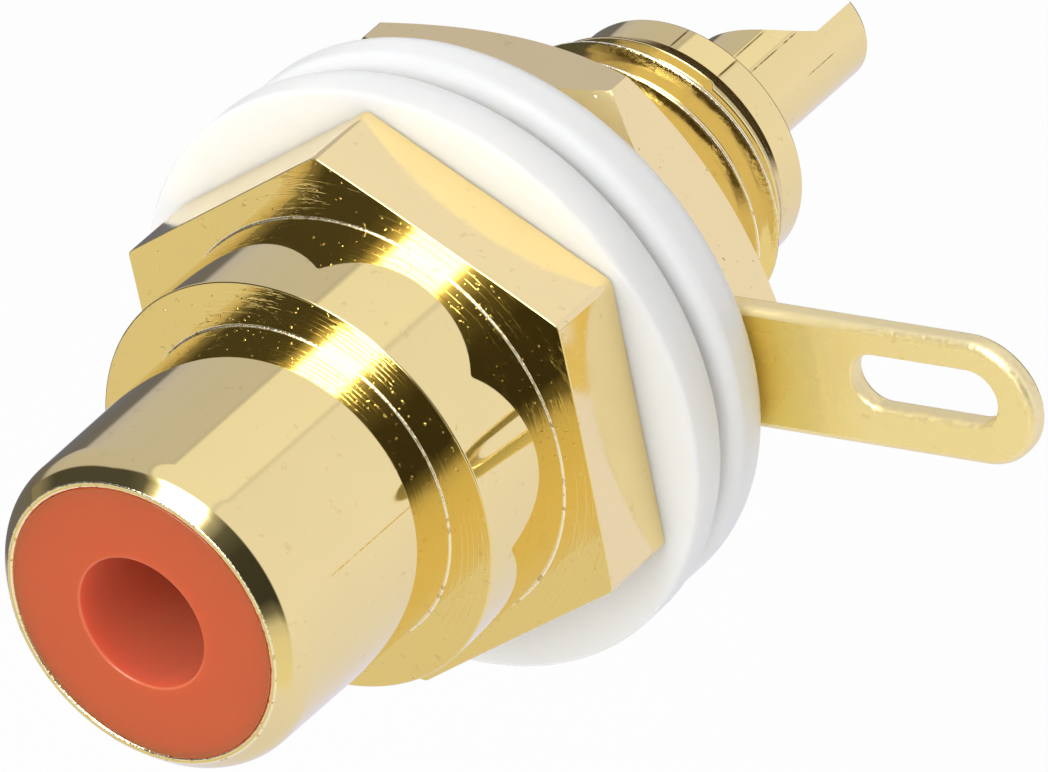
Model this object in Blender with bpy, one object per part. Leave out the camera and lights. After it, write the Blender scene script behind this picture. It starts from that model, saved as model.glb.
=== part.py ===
"""Insulated phono socket for panel mounting, gold plated, with its washers, solder tag and nut.

Metres, +Z up. The socket lies along Y with its mouth towards -Y. The origin is on its axis, on the rear face
of the front washer, where the panel's front surface sits. The solder tag points along +X.
"""

import math

import bmesh
import bpy
from mathutils import Matrix, Vector

MM = 0.001

# Clearances
SEAT_GAP = 0.03 * MM
PRESS_CLEARANCE = 0.03 * MM
THREAD_CLEARANCE = 0.05 * MM
SLEEVE_CLEARANCE = 0.07 * MM

# Shell: a plain barrel, a thicker collar, a hexagon, a threaded shank and a neck, turned from one bar
BARREL_LENGTH = 6.29 * MM
BARREL_TIP_RADIUS = 4.11 * MM
BARREL_ROOT_RADIUS = 4.165 * MM
LIP_WIDTH = 0.15 * MM
NOSE_ANGLE = math.radians(42.0)
NOSE_BLEND_RADIUS = 0.63 * MM
COLLAR_LENGTH = 2.98 * MM
COLLAR_RADIUS = 5.30 * MM
EDGE_BREAK = 0.05 * MM
HEXAGON_LENGTH = 2.15 * MM
HEXAGON_ACROSS_FLATS = 12.08 * MM
HEXAGON_CORNER_ROUND = 0.25 * MM
THREAD_RADIUS = 3.87 * MM
THREAD_LENGTH = 9.48 * MM
THREAD_END_CHAMFER_LENGTH = 0.45 * MM
THREAD_END_CHAMFER_DEPTH = 0.35 * MM
NECK_RADIUS = 3.27 * MM
NECK_LENGTH = 1.50 * MM
NECK_BORE_RADIUS = 2.72 * MM
ROLLED_LIP_RADIUS = 2.20 * MM
ROLLED_LIP_THICKNESS = 0.40 * MM

# Front insulator: a headed bush with the plug pin's hole in front and the contact's chamber behind
INSULATOR_RADIUS = 3.474 * MM
INSULATOR_HEAD_LENGTH = 10.20 * MM
INSULATOR_LENGTH = 15.95 * MM
PIN_HOLE_RADIUS = 1.69 * MM
PIN_HOLE_LENGTH = 3.60 * MM
PIN_HOLE_ROUND = 0.12 * MM

# Centre contact: a split sleeve for the plug's pin, a flange, a shank and a solder cup, turned from one bar
MOUTH_SETBACK = 0.30 * MM
MOUTH_BORE_RADIUS = 1.50 * MM
MOUTH_LEAD_IN = 0.20 * MM
SLEEVE_BORE_RADIUS = 1.62 * MM
SLEEVE_BORE_LENGTH = 11.60 * MM
SLEEVE_WALL = 0.45 * MM
SLIT_WIDTH = 0.35 * MM
SLIT_LENGTH = 7.50 * MM
DRILL_POINT_LENGTH = 0.50 * MM
FLANGE_THICKNESS = 1.00 * MM
FLANGE_RADIAL_GAP = 0.12 * MM
CUP_RADIUS = 1.44 * MM
CUP_REACH = 5.65 * MM
CUP_BORE_RADIUS = 1.02 * MM
CUP_BORE_DEPTH = 4.30 * MM
SCOOP_FLOOR = -0.10 * MM
SCOOP_FLAT_LENGTH = 1.45 * MM
SCOOP_CUTTER_RADIUS = 4.20 * MM
SCOOP_FLOOR_ANGLE = math.radians(29.0)
SCOOP_DIRECTION = math.radians(130.3)

# Insulating washers: a flat ring in front of the panel, a collared one behind it, hanging a little off centre
FRONT_WASHER_RADIUS = 7.59 * MM
FRONT_WASHER_THICKNESS = 1.50 * MM
FRONT_WASHER_FRONT_ROUND = 0.12 * MM
FRONT_WASHER_REAR_ROUND = 0.75 * MM
FRONT_WASHER_OFFSET = (-0.16 * MM, -0.22 * MM)
REAR_WASHER_RADIUS = 7.46 * MM
REAR_WASHER_THICKNESS = 1.35 * MM
REAR_WASHER_FRONT_ROUND = 0.30 * MM
REAR_WASHER_REAR_ROUND = 0.60 * MM
REAR_WASHER_OFFSET = (0.15 * MM, 0.01 * MM)
WASHER_BORE_PLAY = 0.22 * MM
WASHER_BORE_BREAK = 0.08 * MM
WASHER_COLLAR_WALL = 0.50 * MM
WASHER_COLLAR_HEIGHT = 1.20 * MM
WASHER_COLLAR_PLAY = 0.45 * MM

# Solder tag: a ring on the shank with a slotted tongue, pressed from sheet
TAG_THICKNESS = 0.50 * MM
TAG_REACH = 14.90 * MM
TAG_WIDTH = 3.26 * MM
TAG_RING_RADIUS = 5.70 * MM
TAG_HOLE_PLAY = 0.50 * MM
TAG_FILLET = 1.00 * MM
TAG_OFFSET = (0.0, -0.42 * MM)
TAG_TURN = math.radians(0.75)
TAG_EDGE_ROUND = 0.12 * MM
TAG_SLOT_WIDTH = 1.42 * MM
TAG_SLOT_LENGTH = 3.98 * MM
TAG_SLOT_END_MARGIN = 0.96 * MM
TAG_SLOT_RISE = 0.17 * MM

# Nut
NUT_THICKNESS = 2.00 * MM
NUT_ACROSS_FLATS = 11.95 * MM
NUT_CORNER_DIRECTION = math.radians(57.0)
NUT_CHAMFER_DEPTH = 0.67 * MM
NUT_CHAMFER_ANGLE = math.radians(33.0)
NUT_BORE_CHAMFER = 0.20 * MM

# Fineness of the round forms
TURN_STEPS = 60
ROUND_STEPS = 3
SCOOP_STEPS = 8
OVERCUT = 1.0 * MM
SMOOTH_ANGLE = math.radians(30.0)

# Places along the axis, from the panel's front surface
HEXAGON_REAR = -(FRONT_WASHER_THICKNESS + SEAT_GAP)
HEXAGON_FRONT = HEXAGON_REAR - HEXAGON_LENGTH
COLLAR_FRONT = HEXAGON_FRONT - COLLAR_LENGTH
FRONT = COLLAR_FRONT - BARREL_LENGTH
THREAD_END = HEXAGON_REAR + THREAD_LENGTH
NECK_END = THREAD_END + NECK_LENGTH
LIP_INNER_FACE = NECK_END - ROLLED_LIP_THICKNESS
REAR_WASHER_FRONT = SEAT_GAP
REAR_WASHER_REAR = REAR_WASHER_FRONT + REAR_WASHER_THICKNESS
TAG_FRONT = REAR_WASHER_REAR + SEAT_GAP
TAG_REAR = TAG_FRONT + TAG_THICKNESS
NUT_FRONT = TAG_REAR + SEAT_GAP
NUT_REAR = NUT_FRONT + NUT_THICKNESS
INSULATOR_SHOULDER = FRONT + INSULATOR_HEAD_LENGTH
INSULATOR_END = FRONT + INSULATOR_LENGTH
MOUTH = FRONT + PIN_HOLE_LENGTH + MOUTH_SETBACK
FLANGE_FRONT = INSULATOR_END + SEAT_GAP
FLANGE_REAR = FLANGE_FRONT + FLANGE_THICKNESS
BUSH_FRONT = FLANGE_REAR + SEAT_GAP
BUSH_SHOULDER = LIP_INNER_FACE - SEAT_GAP
CUP_END = NECK_END + CUP_REACH

# Radii that follow from what they fit
FRONT_BORE_RADIUS = INSULATOR_RADIUS + PRESS_CLEARANCE
SPIGOT_RADIUS = NECK_BORE_RADIUS - PRESS_CLEARANCE
SLEEVE_RADIUS = SLEEVE_BORE_RADIUS + SLEEVE_WALL
MOUTH_RADIUS = MOUTH_BORE_RADIUS + SLEEVE_WALL
CHAMBER_RADIUS = SLEEVE_RADIUS + SLEEVE_CLEARANCE
REAR_WASHER_BORE_RADIUS = THREAD_RADIUS + WASHER_BORE_PLAY
WASHER_COLLAR_RADIUS = REAR_WASHER_BORE_RADIUS + WASHER_COLLAR_WALL
FRONT_WASHER_BORE_RADIUS = WASHER_COLLAR_RADIUS + WASHER_COLLAR_PLAY
TAG_HOLE_RADIUS = THREAD_RADIUS + TAG_HOLE_PLAY
NUT_BORE_RADIUS = THREAD_RADIUS + THREAD_CLEARANCE
NUT_CORNER_RADIUS = NUT_ACROSS_FLATS / math.sqrt(3.0)
HEXAGON_CORNER_RADIUS = HEXAGON_ACROSS_FLATS / math.sqrt(3.0)


def clear_scene():
    for obj in list(bpy.data.objects):
        bpy.data.objects.remove(obj, do_unlink=True)


def make_material(name, colour, roughness, metallic=0.0):
    material = bpy.data.materials.new(name)
    material.use_nodes = True
    surface = material.node_tree.nodes["Principled BSDF"]
    surface.inputs["Base Color"].default_value = (*colour, 1.0)
    surface.inputs["Roughness"].default_value = roughness
    surface.inputs["Metallic"].default_value = metallic
    material.diffuse_color = (*colour, 1.0)
    return material


def add_object(name, bm, material=None):
    mesh = bpy.data.meshes.new(name)
    bm.to_mesh(mesh)
    bm.free()
    mesh.shade_smooth()
    mesh.set_sharp_from_angle(angle=SMOOTH_ANGLE)
    obj = bpy.data.objects.new(name, mesh)
    bpy.context.scene.collection.objects.link(obj)
    if material:
        mesh.materials.append(material)
    return obj


def as_helper(obj):
    """Marks an object as a tool for another one's Boolean."""
    obj.hide_render = True
    obj.display_type = "WIRE"
    return obj


def add_boolean(obj, other, operation):
    modifier = obj.modifiers.new(f"{operation.lower()} {other.name}", "BOOLEAN")
    modifier.operation = operation
    modifier.solver = "EXACT"
    modifier.object = other


def unit(vector):
    return Vector(vector).normalized()


def rounded(corners):
    """The outline through (across, along, radius) corners, with each corner of a radius turned into an arc."""
    outline = []
    for index, (across, along, radius) in enumerate(corners):
        corner = Vector((across, along))
        if radius == 0.0:
            outline.append(corner)
            continue
        before = unit(Vector(corners[index - 1][:2]) - corner)
        after = unit(Vector(corners[(index + 1) % len(corners)][:2]) - corner)
        half_angle = before.angle(after) / 2.0
        centre = corner + unit(before + after) * (radius / math.sin(half_angle))
        reach = radius / math.tan(half_angle)
        start = corner + before * reach - centre
        turn = (corner + after * reach - centre).angle_signed(start)
        for step in range(ROUND_STEPS + 1):
            outline.append(centre + Matrix.Rotation(turn * step / ROUND_STEPS, 2) @ start)
    return outline


def outline_bmesh(points):
    """A bmesh that holds a closed loop of edges through 3-D points."""
    bm = bmesh.new()
    vertices = [bm.verts.new(point) for point in points]
    for index, vertex in enumerate(vertices):
        bm.edges.new((vertices[index - 1], vertex))
    return bm


def turned(corners):
    """A solid turned about Y from a closed section of (radius, y, corner radius) points."""
    bm = outline_bmesh([(point.x, point.y, 0.0) for point in rounded(corners)])
    bmesh.ops.spin(
        bm,
        geom=bm.verts[:] + bm.edges[:],
        cent=(0.0, 0.0, 0.0),
        axis=(0.0, 1.0, 0.0),
        angle=math.tau,
        steps=TURN_STEPS,
        use_merge=True,
    )
    bmesh.ops.remove_doubles(bm, verts=bm.verts, dist=0.0001 * MM)
    bmesh.ops.recalc_face_normals(bm, faces=bm.faces)
    return bm


def extruded(points, y_front, y_rear):
    """A plate square to Y, with an outline of (x, z) points."""
    bm = bmesh.new()
    face = bm.faces.new([bm.verts.new((point[0], y_front, point[1])) for point in points])
    grown = bmesh.ops.extrude_face_region(bm, geom=[face])
    moved = [item for item in grown["geom"] if isinstance(item, bmesh.types.BMVert)]
    bmesh.ops.translate(bm, verts=moved, vec=(0.0, y_rear - y_front, 0.0))
    bmesh.ops.recalc_face_normals(bm, faces=bm.faces)
    return bm


def arc(centre, radius, start, end, steps):
    """(x, z) points along an arc, from the start angle to the end angle."""
    angles = [start + (end - start) * step / steps for step in range(steps + 1)]
    return [(centre[0] + radius * math.cos(a), centre[1] + radius * math.sin(a)) for a in angles]


def hexagon(corner_radius, corner_direction, y_front, y_rear):
    """A hexagonal prism along Y with one corner in the given direction from +X towards +Z."""
    corners = [corner_direction + math.tau * index / 6 for index in range(6)]
    points = [(corner_radius * math.cos(a), corner_radius * math.sin(a)) for a in corners]
    return extruded(points, y_front, y_rear)


def box(low, high):
    points = [(low[0], low[2]), (high[0], low[2]), (high[0], high[2]), (low[0], high[2])]
    return extruded(points, low[1], high[1])


def nose_corners():
    """The shell's front edge: a flat lip, a bevel and an arc that runs into the barrel."""
    lip_outer = FRONT_BORE_RADIUS + LIP_WIDTH
    blend_drop = NOSE_BLEND_RADIUS * (1.0 - math.cos(NOSE_ANGLE))
    bevel_rise = BARREL_TIP_RADIUS - blend_drop - lip_outer
    bevel_end = FRONT + bevel_rise / math.tan(NOSE_ANGLE)
    arc_centre_y = bevel_end + NOSE_BLEND_RADIUS * math.sin(NOSE_ANGLE)
    arc_centre_radius = BARREL_TIP_RADIUS - NOSE_BLEND_RADIUS
    corners = [(0.0, FRONT, 0.0), (lip_outer, FRONT, 0.0)]
    for step in range(ROUND_STEPS + 1):
        angle = NOSE_ANGLE * (1.0 - step / ROUND_STEPS)
        radius = arc_centre_radius + NOSE_BLEND_RADIUS * math.cos(angle)
        corners.append((radius, arc_centre_y - NOSE_BLEND_RADIUS * math.sin(angle), 0.0))
    return corners


def shell_blank():
    """The turned outside of the shell, without its hexagon."""
    hexagon_middle = (HEXAGON_FRONT + HEXAGON_REAR) / 2.0
    corners = nose_corners() + [
        (BARREL_ROOT_RADIUS, COLLAR_FRONT, 0.0),
        (COLLAR_RADIUS, COLLAR_FRONT, EDGE_BREAK),
        (COLLAR_RADIUS, hexagon_middle, 0.0),
        (THREAD_RADIUS, hexagon_middle, 0.0),
        (THREAD_RADIUS, THREAD_END - THREAD_END_CHAMFER_LENGTH, 0.0),
        (THREAD_RADIUS - THREAD_END_CHAMFER_DEPTH, THREAD_END, 0.0),
        (NECK_RADIUS, THREAD_END, 0.0),
        (NECK_RADIUS, NECK_END, EDGE_BREAK),
        (0.0, NECK_END, 0.0),
    ]
    return turned(corners)


def shell_bore():
    """The stepped bore that holds the insulators, up to the lip that is rolled in behind them."""
    shoulder = INSULATOR_SHOULDER + SEAT_GAP
    corners = [
        (0.0, FRONT - OVERCUT, 0.0),
        (FRONT_BORE_RADIUS, FRONT - OVERCUT, 0.0),
        (FRONT_BORE_RADIUS, shoulder, 0.0),
        (NECK_BORE_RADIUS, shoulder, 0.0),
        (NECK_BORE_RADIUS, LIP_INNER_FACE, 0.0),
        (ROLLED_LIP_RADIUS, LIP_INNER_FACE, 0.0),
        (ROLLED_LIP_RADIUS, NECK_END + OVERCUT, 0.0),
        (0.0, NECK_END + OVERCUT, 0.0),
    ]
    return turned(corners)


def make_shell(gold):
    shell = add_object("shell", shell_blank(), gold)
    prism = hexagon(HEXAGON_CORNER_RADIUS, math.pi / 2.0, HEXAGON_FRONT, HEXAGON_REAR)
    along = [edge for edge in prism.edges if abs(edge.verts[0].co.y - edge.verts[1].co.y) > 0.0]
    bmesh.ops.bevel(
        prism, geom=along, offset=HEXAGON_CORNER_ROUND, segments=2, profile=0.5, affect="EDGES"
    )
    add_boolean(shell, as_helper(add_object("shell_hexagon", prism)), "UNION")
    add_boolean(shell, as_helper(add_object("shell_bore", shell_bore())), "DIFFERENCE")
    return shell


def make_front_insulator(red):
    pin_hole_end = FRONT + PIN_HOLE_LENGTH
    corners = [
        (PIN_HOLE_RADIUS, FRONT, PIN_HOLE_ROUND),
        (INSULATOR_RADIUS, FRONT, 0.0),
        (INSULATOR_RADIUS, INSULATOR_SHOULDER, 0.0),
        (SPIGOT_RADIUS, INSULATOR_SHOULDER, 0.0),
        (SPIGOT_RADIUS, INSULATOR_END, 0.0),
        (CHAMBER_RADIUS, INSULATOR_END, 0.0),
        (CHAMBER_RADIUS, pin_hole_end, 0.0),
        (PIN_HOLE_RADIUS, pin_hole_end, 0.0),
    ]
    return add_object("front_insulator", turned(corners), red)


def make_rear_insulator(white):
    corners = [
        (CUP_RADIUS + PRESS_CLEARANCE, BUSH_FRONT, 0.0),
        (SPIGOT_RADIUS, BUSH_FRONT, 0.0),
        (SPIGOT_RADIUS, BUSH_SHOULDER, 0.0),
        (ROLLED_LIP_RADIUS - PRESS_CLEARANCE, BUSH_SHOULDER, 0.0),
        (ROLLED_LIP_RADIUS - PRESS_CLEARANCE, NECK_END, EDGE_BREAK),
        (CUP_RADIUS + PRESS_CLEARANCE, NECK_END, 0.0),
    ]
    return add_object("rear_insulator", turned(corners), white)


def scoop_cutter():
    """The block that opens one side of the solder cup: a flat past the axis and a hollow up to the skin."""
    floor_start = CUP_END - SCOOP_FLAT_LENGTH
    top = CUP_RADIUS + OVERCUT
    centre_along = floor_start + SCOOP_CUTTER_RADIUS * math.sin(SCOOP_FLOOR_ANGLE)
    centre_height = SCOOP_FLOOR + SCOOP_CUTTER_RADIUS * math.cos(SCOOP_FLOOR_ANGLE)
    end_angle = math.acos((centre_height - top) / SCOOP_CUTTER_RADIUS)
    side = [(top, CUP_END + OVERCUT), (SCOOP_FLOOR, CUP_END + OVERCUT)]
    for step in range(SCOOP_STEPS + 1):
        angle = SCOOP_FLOOR_ANGLE + (end_angle - SCOOP_FLOOR_ANGLE) * step / SCOOP_STEPS
        height = centre_height - SCOOP_CUTTER_RADIUS * math.cos(angle)
        side.append((height, centre_along - SCOOP_CUTTER_RADIUS * math.sin(angle)))
    half_width = CUP_RADIUS + OVERCUT
    bm = bmesh.new()
    face = bm.faces.new([bm.verts.new((height, along, -half_width)) for height, along in side])
    grown = bmesh.ops.extrude_face_region(bm, geom=[face])
    moved = [item for item in grown["geom"] if isinstance(item, bmesh.types.BMVert)]
    bmesh.ops.translate(bm, verts=moved, vec=(0.0, 0.0, 2.0 * half_width))
    bmesh.ops.rotate(
        bm, verts=bm.verts, cent=(0.0, 0.0, 0.0), matrix=Matrix.Rotation(-SCOOP_DIRECTION, 3, "Y")
    )
    bmesh.ops.recalc_face_normals(bm, faces=bm.faces)
    return bm


def make_centre_contact(gold):
    slit_end = MOUTH + SLIT_LENGTH
    sleeve_bore_end = MOUTH + SLEEVE_BORE_LENGTH
    cup_bore_end = CUP_END - CUP_BORE_DEPTH
    corners = [
        (MOUTH_BORE_RADIUS + MOUTH_LEAD_IN, MOUTH, 0.0),
        (MOUTH_RADIUS, MOUTH, EDGE_BREAK),
        (SLEEVE_RADIUS, slit_end, 0.0),
        (SLEEVE_RADIUS, FLANGE_FRONT, 0.0),
        (NECK_BORE_RADIUS - FLANGE_RADIAL_GAP, FLANGE_FRONT, 0.0),
        (NECK_BORE_RADIUS - FLANGE_RADIAL_GAP, FLANGE_REAR, 0.0),
        (CUP_RADIUS, FLANGE_REAR, 0.0),
        (CUP_RADIUS, CUP_END, EDGE_BREAK),
        (CUP_BORE_RADIUS, CUP_END, 0.0),
        (CUP_BORE_RADIUS, cup_bore_end, 0.0),
        (0.0, cup_bore_end - DRILL_POINT_LENGTH, 0.0),
        (0.0, sleeve_bore_end + DRILL_POINT_LENGTH, 0.0),
        (SLEEVE_BORE_RADIUS, sleeve_bore_end, 0.0),
        (SLEEVE_BORE_RADIUS, slit_end, 0.0),
        (MOUTH_BORE_RADIUS, MOUTH + MOUTH_LEAD_IN, 0.0),
    ]
    contact = add_object("centre_contact", turned(corners), gold)
    reach = SLEEVE_RADIUS + OVERCUT
    half = SLIT_WIDTH / 2.0
    slits = [("slit_across", (reach, half)), ("slit_upright", (half, reach))]
    for name, (half_x, half_z) in slits:
        cutter = box((-half_x, MOUTH - OVERCUT, -half_z), (half_x, slit_end, half_z))
        add_boolean(contact, as_helper(add_object(name, cutter)), "DIFFERENCE")
    scoop = as_helper(add_object("cup_scoop", scoop_cutter()))
    add_boolean(contact, scoop, "DIFFERENCE")
    return contact


def hang(obj, offset, turn=0.0):
    """Sets a loose ring off the axis by its play, in x and z, and turns it from +X towards +Z."""
    obj.location = (offset[0], 0.0, offset[1])
    obj.rotation_euler = (0.0, -turn, 0.0)
    return obj


def make_front_washer(nylon):
    front = -FRONT_WASHER_THICKNESS
    corners = [
        (FRONT_WASHER_BORE_RADIUS, front, WASHER_BORE_BREAK),
        (FRONT_WASHER_RADIUS, front, FRONT_WASHER_FRONT_ROUND),
        (FRONT_WASHER_RADIUS, 0.0, FRONT_WASHER_REAR_ROUND),
        (FRONT_WASHER_BORE_RADIUS, 0.0, WASHER_BORE_BREAK),
    ]
    return hang(add_object("front_washer", turned(corners), nylon), FRONT_WASHER_OFFSET)


def make_rear_washer(nylon):
    collar_front = REAR_WASHER_FRONT - WASHER_COLLAR_HEIGHT
    corners = [
        (REAR_WASHER_BORE_RADIUS, collar_front, 0.0),
        (WASHER_COLLAR_RADIUS, collar_front, WASHER_BORE_BREAK),
        (WASHER_COLLAR_RADIUS, REAR_WASHER_FRONT, 0.0),
        (REAR_WASHER_RADIUS, REAR_WASHER_FRONT, REAR_WASHER_FRONT_ROUND),
        (REAR_WASHER_RADIUS, REAR_WASHER_REAR, REAR_WASHER_REAR_ROUND),
        (REAR_WASHER_BORE_RADIUS, REAR_WASHER_REAR, WASHER_BORE_BREAK),
    ]
    return hang(add_object("rear_washer", turned(corners), nylon), REAR_WASHER_OFFSET)


def tag_outline():
    """The ring and tongue, with a fillet where each edge of the tongue leaves the ring."""
    half_width = TAG_WIDTH / 2.0
    fillet_z = half_width + TAG_FILLET
    fillet_x = math.sqrt((TAG_RING_RADIUS + TAG_FILLET) ** 2 - fillet_z**2)
    tongue_angle = math.atan2(fillet_z, fillet_x)
    end_centre = (TAG_REACH - half_width, 0.0)
    quarter = math.pi / 2.0
    tongue_end = arc(end_centre, half_width, -quarter, quarter, 4 * ROUND_STEPS)
    upper = arc((fillet_x, fillet_z), TAG_FILLET, -quarter, tongue_angle - math.pi, ROUND_STEPS)
    ring = arc((0.0, 0.0), TAG_RING_RADIUS, tongue_angle, math.tau - tongue_angle, TURN_STEPS - 8)
    lower = [(x, -z) for x, z in reversed(upper)]
    return tongue_end + upper + ring[1:-1] + lower


def make_solder_tag(tag_gold):
    tag = add_object("solder_tag", extruded(tag_outline(), TAG_FRONT, TAG_REAR), tag_gold)
    hole = extruded(
        arc((0.0, 0.0), TAG_HOLE_RADIUS, 0.0, math.tau, TURN_STEPS)[:-1],
        TAG_FRONT - OVERCUT,
        TAG_REAR + OVERCUT,
    )
    slot_radius = TAG_SLOT_WIDTH / 2.0
    slot_outer = (TAG_REACH - TAG_SLOT_END_MARGIN - slot_radius, TAG_SLOT_RISE)
    slot_inner = (slot_outer[0] - TAG_SLOT_LENGTH + TAG_SLOT_WIDTH, TAG_SLOT_RISE)
    quarter = math.pi / 2.0
    slot_points = arc(slot_outer, slot_radius, -quarter, quarter, 3 * ROUND_STEPS)
    slot_points += arc(slot_inner, slot_radius, quarter, 3.0 * quarter, 3 * ROUND_STEPS)
    slot = extruded(slot_points, TAG_FRONT - OVERCUT, TAG_REAR + OVERCUT)
    for name, cutter in (("tag_hole", hole), ("tag_slot", slot)):
        helper = hang(as_helper(add_object(name, cutter)), TAG_OFFSET, TAG_TURN)
        add_boolean(tag, helper, "DIFFERENCE")
    edges = tag.modifiers.new("pressed edges", "BEVEL")
    edges.width = TAG_EDGE_ROUND
    edges.segments = 2
    edges.limit_method = "ANGLE"
    edges.angle_limit = math.radians(60.0)
    return hang(tag, TAG_OFFSET, TAG_TURN)


def make_nut(gold):
    """A hexagon cut to a double cone by the chamfers, with a countersunk bore."""
    middle = (NUT_FRONT + NUT_REAR) / 2.0
    face_radius = NUT_CORNER_RADIUS - NUT_CHAMFER_DEPTH / math.tan(NUT_CHAMFER_ANGLE)
    cone_meeting_radius = face_radius + (middle - NUT_FRONT) / math.tan(NUT_CHAMFER_ANGLE)
    countersink = NUT_BORE_RADIUS + NUT_BORE_CHAMFER
    corners = [
        (countersink, NUT_FRONT, 0.0),
        (face_radius, NUT_FRONT, 0.0),
        (cone_meeting_radius, middle, 0.0),
        (face_radius, NUT_REAR, 0.0),
        (countersink, NUT_REAR, 0.0),
        (NUT_BORE_RADIUS, NUT_REAR - NUT_BORE_CHAMFER, 0.0),
        (NUT_BORE_RADIUS, NUT_FRONT + NUT_BORE_CHAMFER, 0.0),
    ]
    nut = add_object("hex_nut", turned(corners), gold)
    prism = hexagon(NUT_CORNER_RADIUS, NUT_CORNER_DIRECTION, NUT_FRONT - OVERCUT, NUT_REAR + OVERCUT)
    add_boolean(nut, as_helper(add_object("nut_hexagon", prism)), "INTERSECT")
    return nut


def main():
    clear_scene()
    gold = make_material("gold_plate", (0.86, 0.66, 0.30), 0.12, 1.0)
    tag_gold = make_material("tag_gold_plate", (0.84, 0.70, 0.40), 0.35, 1.0)
    red = make_material("red_insulator", (0.62, 0.13, 0.05), 0.40)
    white = make_material("white_bush", (0.85, 0.85, 0.83), 0.50)
    nylon = make_material("white_nylon", (0.88, 0.88, 0.88), 0.45)
    make_shell(gold)
    make_front_insulator(red)
    make_centre_contact(gold)
    make_rear_insulator(white)
    make_front_washer(nylon)
    make_rear_washer(nylon)
    make_solder_tag(tag_gold)
    make_nut(gold)


main()
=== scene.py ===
"""The finish of a gold-plated phono socket over its CAD frame.

Turned skins, a fine thread, a pressed tag, plating and moulded plastics stand for the plain solids.

Lengths are in metres. The socket lies along Y with its mouth towards -Y, and angles run from +X towards +Z.
"""

import math

import bmesh
import bpy
import numpy as np
from bpy.props import FloatProperty, FloatVectorProperty, IntProperty, PointerProperty
from mathutils import Euler, Matrix, Vector
from mathutils.geometry import tessellate_polygon


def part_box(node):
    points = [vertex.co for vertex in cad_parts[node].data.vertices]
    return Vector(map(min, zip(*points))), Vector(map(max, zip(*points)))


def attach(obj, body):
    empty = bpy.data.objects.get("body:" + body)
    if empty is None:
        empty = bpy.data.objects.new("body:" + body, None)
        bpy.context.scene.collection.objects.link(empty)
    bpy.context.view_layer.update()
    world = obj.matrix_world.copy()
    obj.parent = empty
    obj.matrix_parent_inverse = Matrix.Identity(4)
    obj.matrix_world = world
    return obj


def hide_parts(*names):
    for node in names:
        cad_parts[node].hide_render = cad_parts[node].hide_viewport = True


bl_info = {
    "name": "Panel phono socket",
    "version": (1, 0, 0),
    "blender": (4, 5, 0),
    "location": "View3D > Sidebar > Socket",
    "description": "Builds a gold-plated panel phono socket with its washers, solder tag and nut",
    "category": "Add Mesh",
}

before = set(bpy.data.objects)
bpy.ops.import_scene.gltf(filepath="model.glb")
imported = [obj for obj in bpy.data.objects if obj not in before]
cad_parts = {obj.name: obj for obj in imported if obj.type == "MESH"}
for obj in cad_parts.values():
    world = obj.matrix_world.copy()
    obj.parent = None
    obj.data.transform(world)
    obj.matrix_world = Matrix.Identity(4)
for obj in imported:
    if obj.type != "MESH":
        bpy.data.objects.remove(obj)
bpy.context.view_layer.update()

MM = 0.001
AXIS = np.array([0.0, 1.0, 0.0])
QUARTER = math.pi / 2.0

# Material slots of the gold pieces and of the tag
TURNED, FLAT, THREAD, EDGE = 0, 1, 2, 3
TAG_FACE, TAG_RIM = 0, 1

# Rounds on edges, from soft to crisp: one smaller than SMALL_ROUND gets the edge plating and its painted
# highlight
SMALL_ROUND = 0.08 * MM
LIP_ROUND = 0.07 * MM
FINE_ROUND = 0.05 * MM
INNER_ROUND = 0.04 * MM
CRISP_ROUND = 0.03 * MM

# Points closer than WELD become one, strips shorter than TOO_SHORT are left out, and angles closer than
# SAME_ANGLE are the same
WELD = 2e-8
TOO_SHORT = 1e-8
SAME_ANGLE = 1e-6


def length(name, value_mm, description):
    """A size, written in millimetres."""
    value = value_mm * MM
    return FloatProperty(
        name=name, description=description, default=value, unit="LENGTH", subtype="DISTANCE", precision=5
    )


def angle(name, degrees, description):
    """An angle, written in degrees."""
    return FloatProperty(
        name=name, description=description, default=math.radians(degrees), unit="ROTATION", subtype="ANGLE"
    )


def share(name, value, description):
    """A plain factor."""
    return FloatProperty(
        name=name, description=description, default=value, min=0.0, max=4.0, subtype="FACTOR"
    )


def colour(name, rgb, description):
    """A colour, as linear red, green and blue."""
    return FloatVectorProperty(
        name=name, description=description, default=rgb, size=3, min=0.0, max=1.0, subtype="COLOR"
    )


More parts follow.
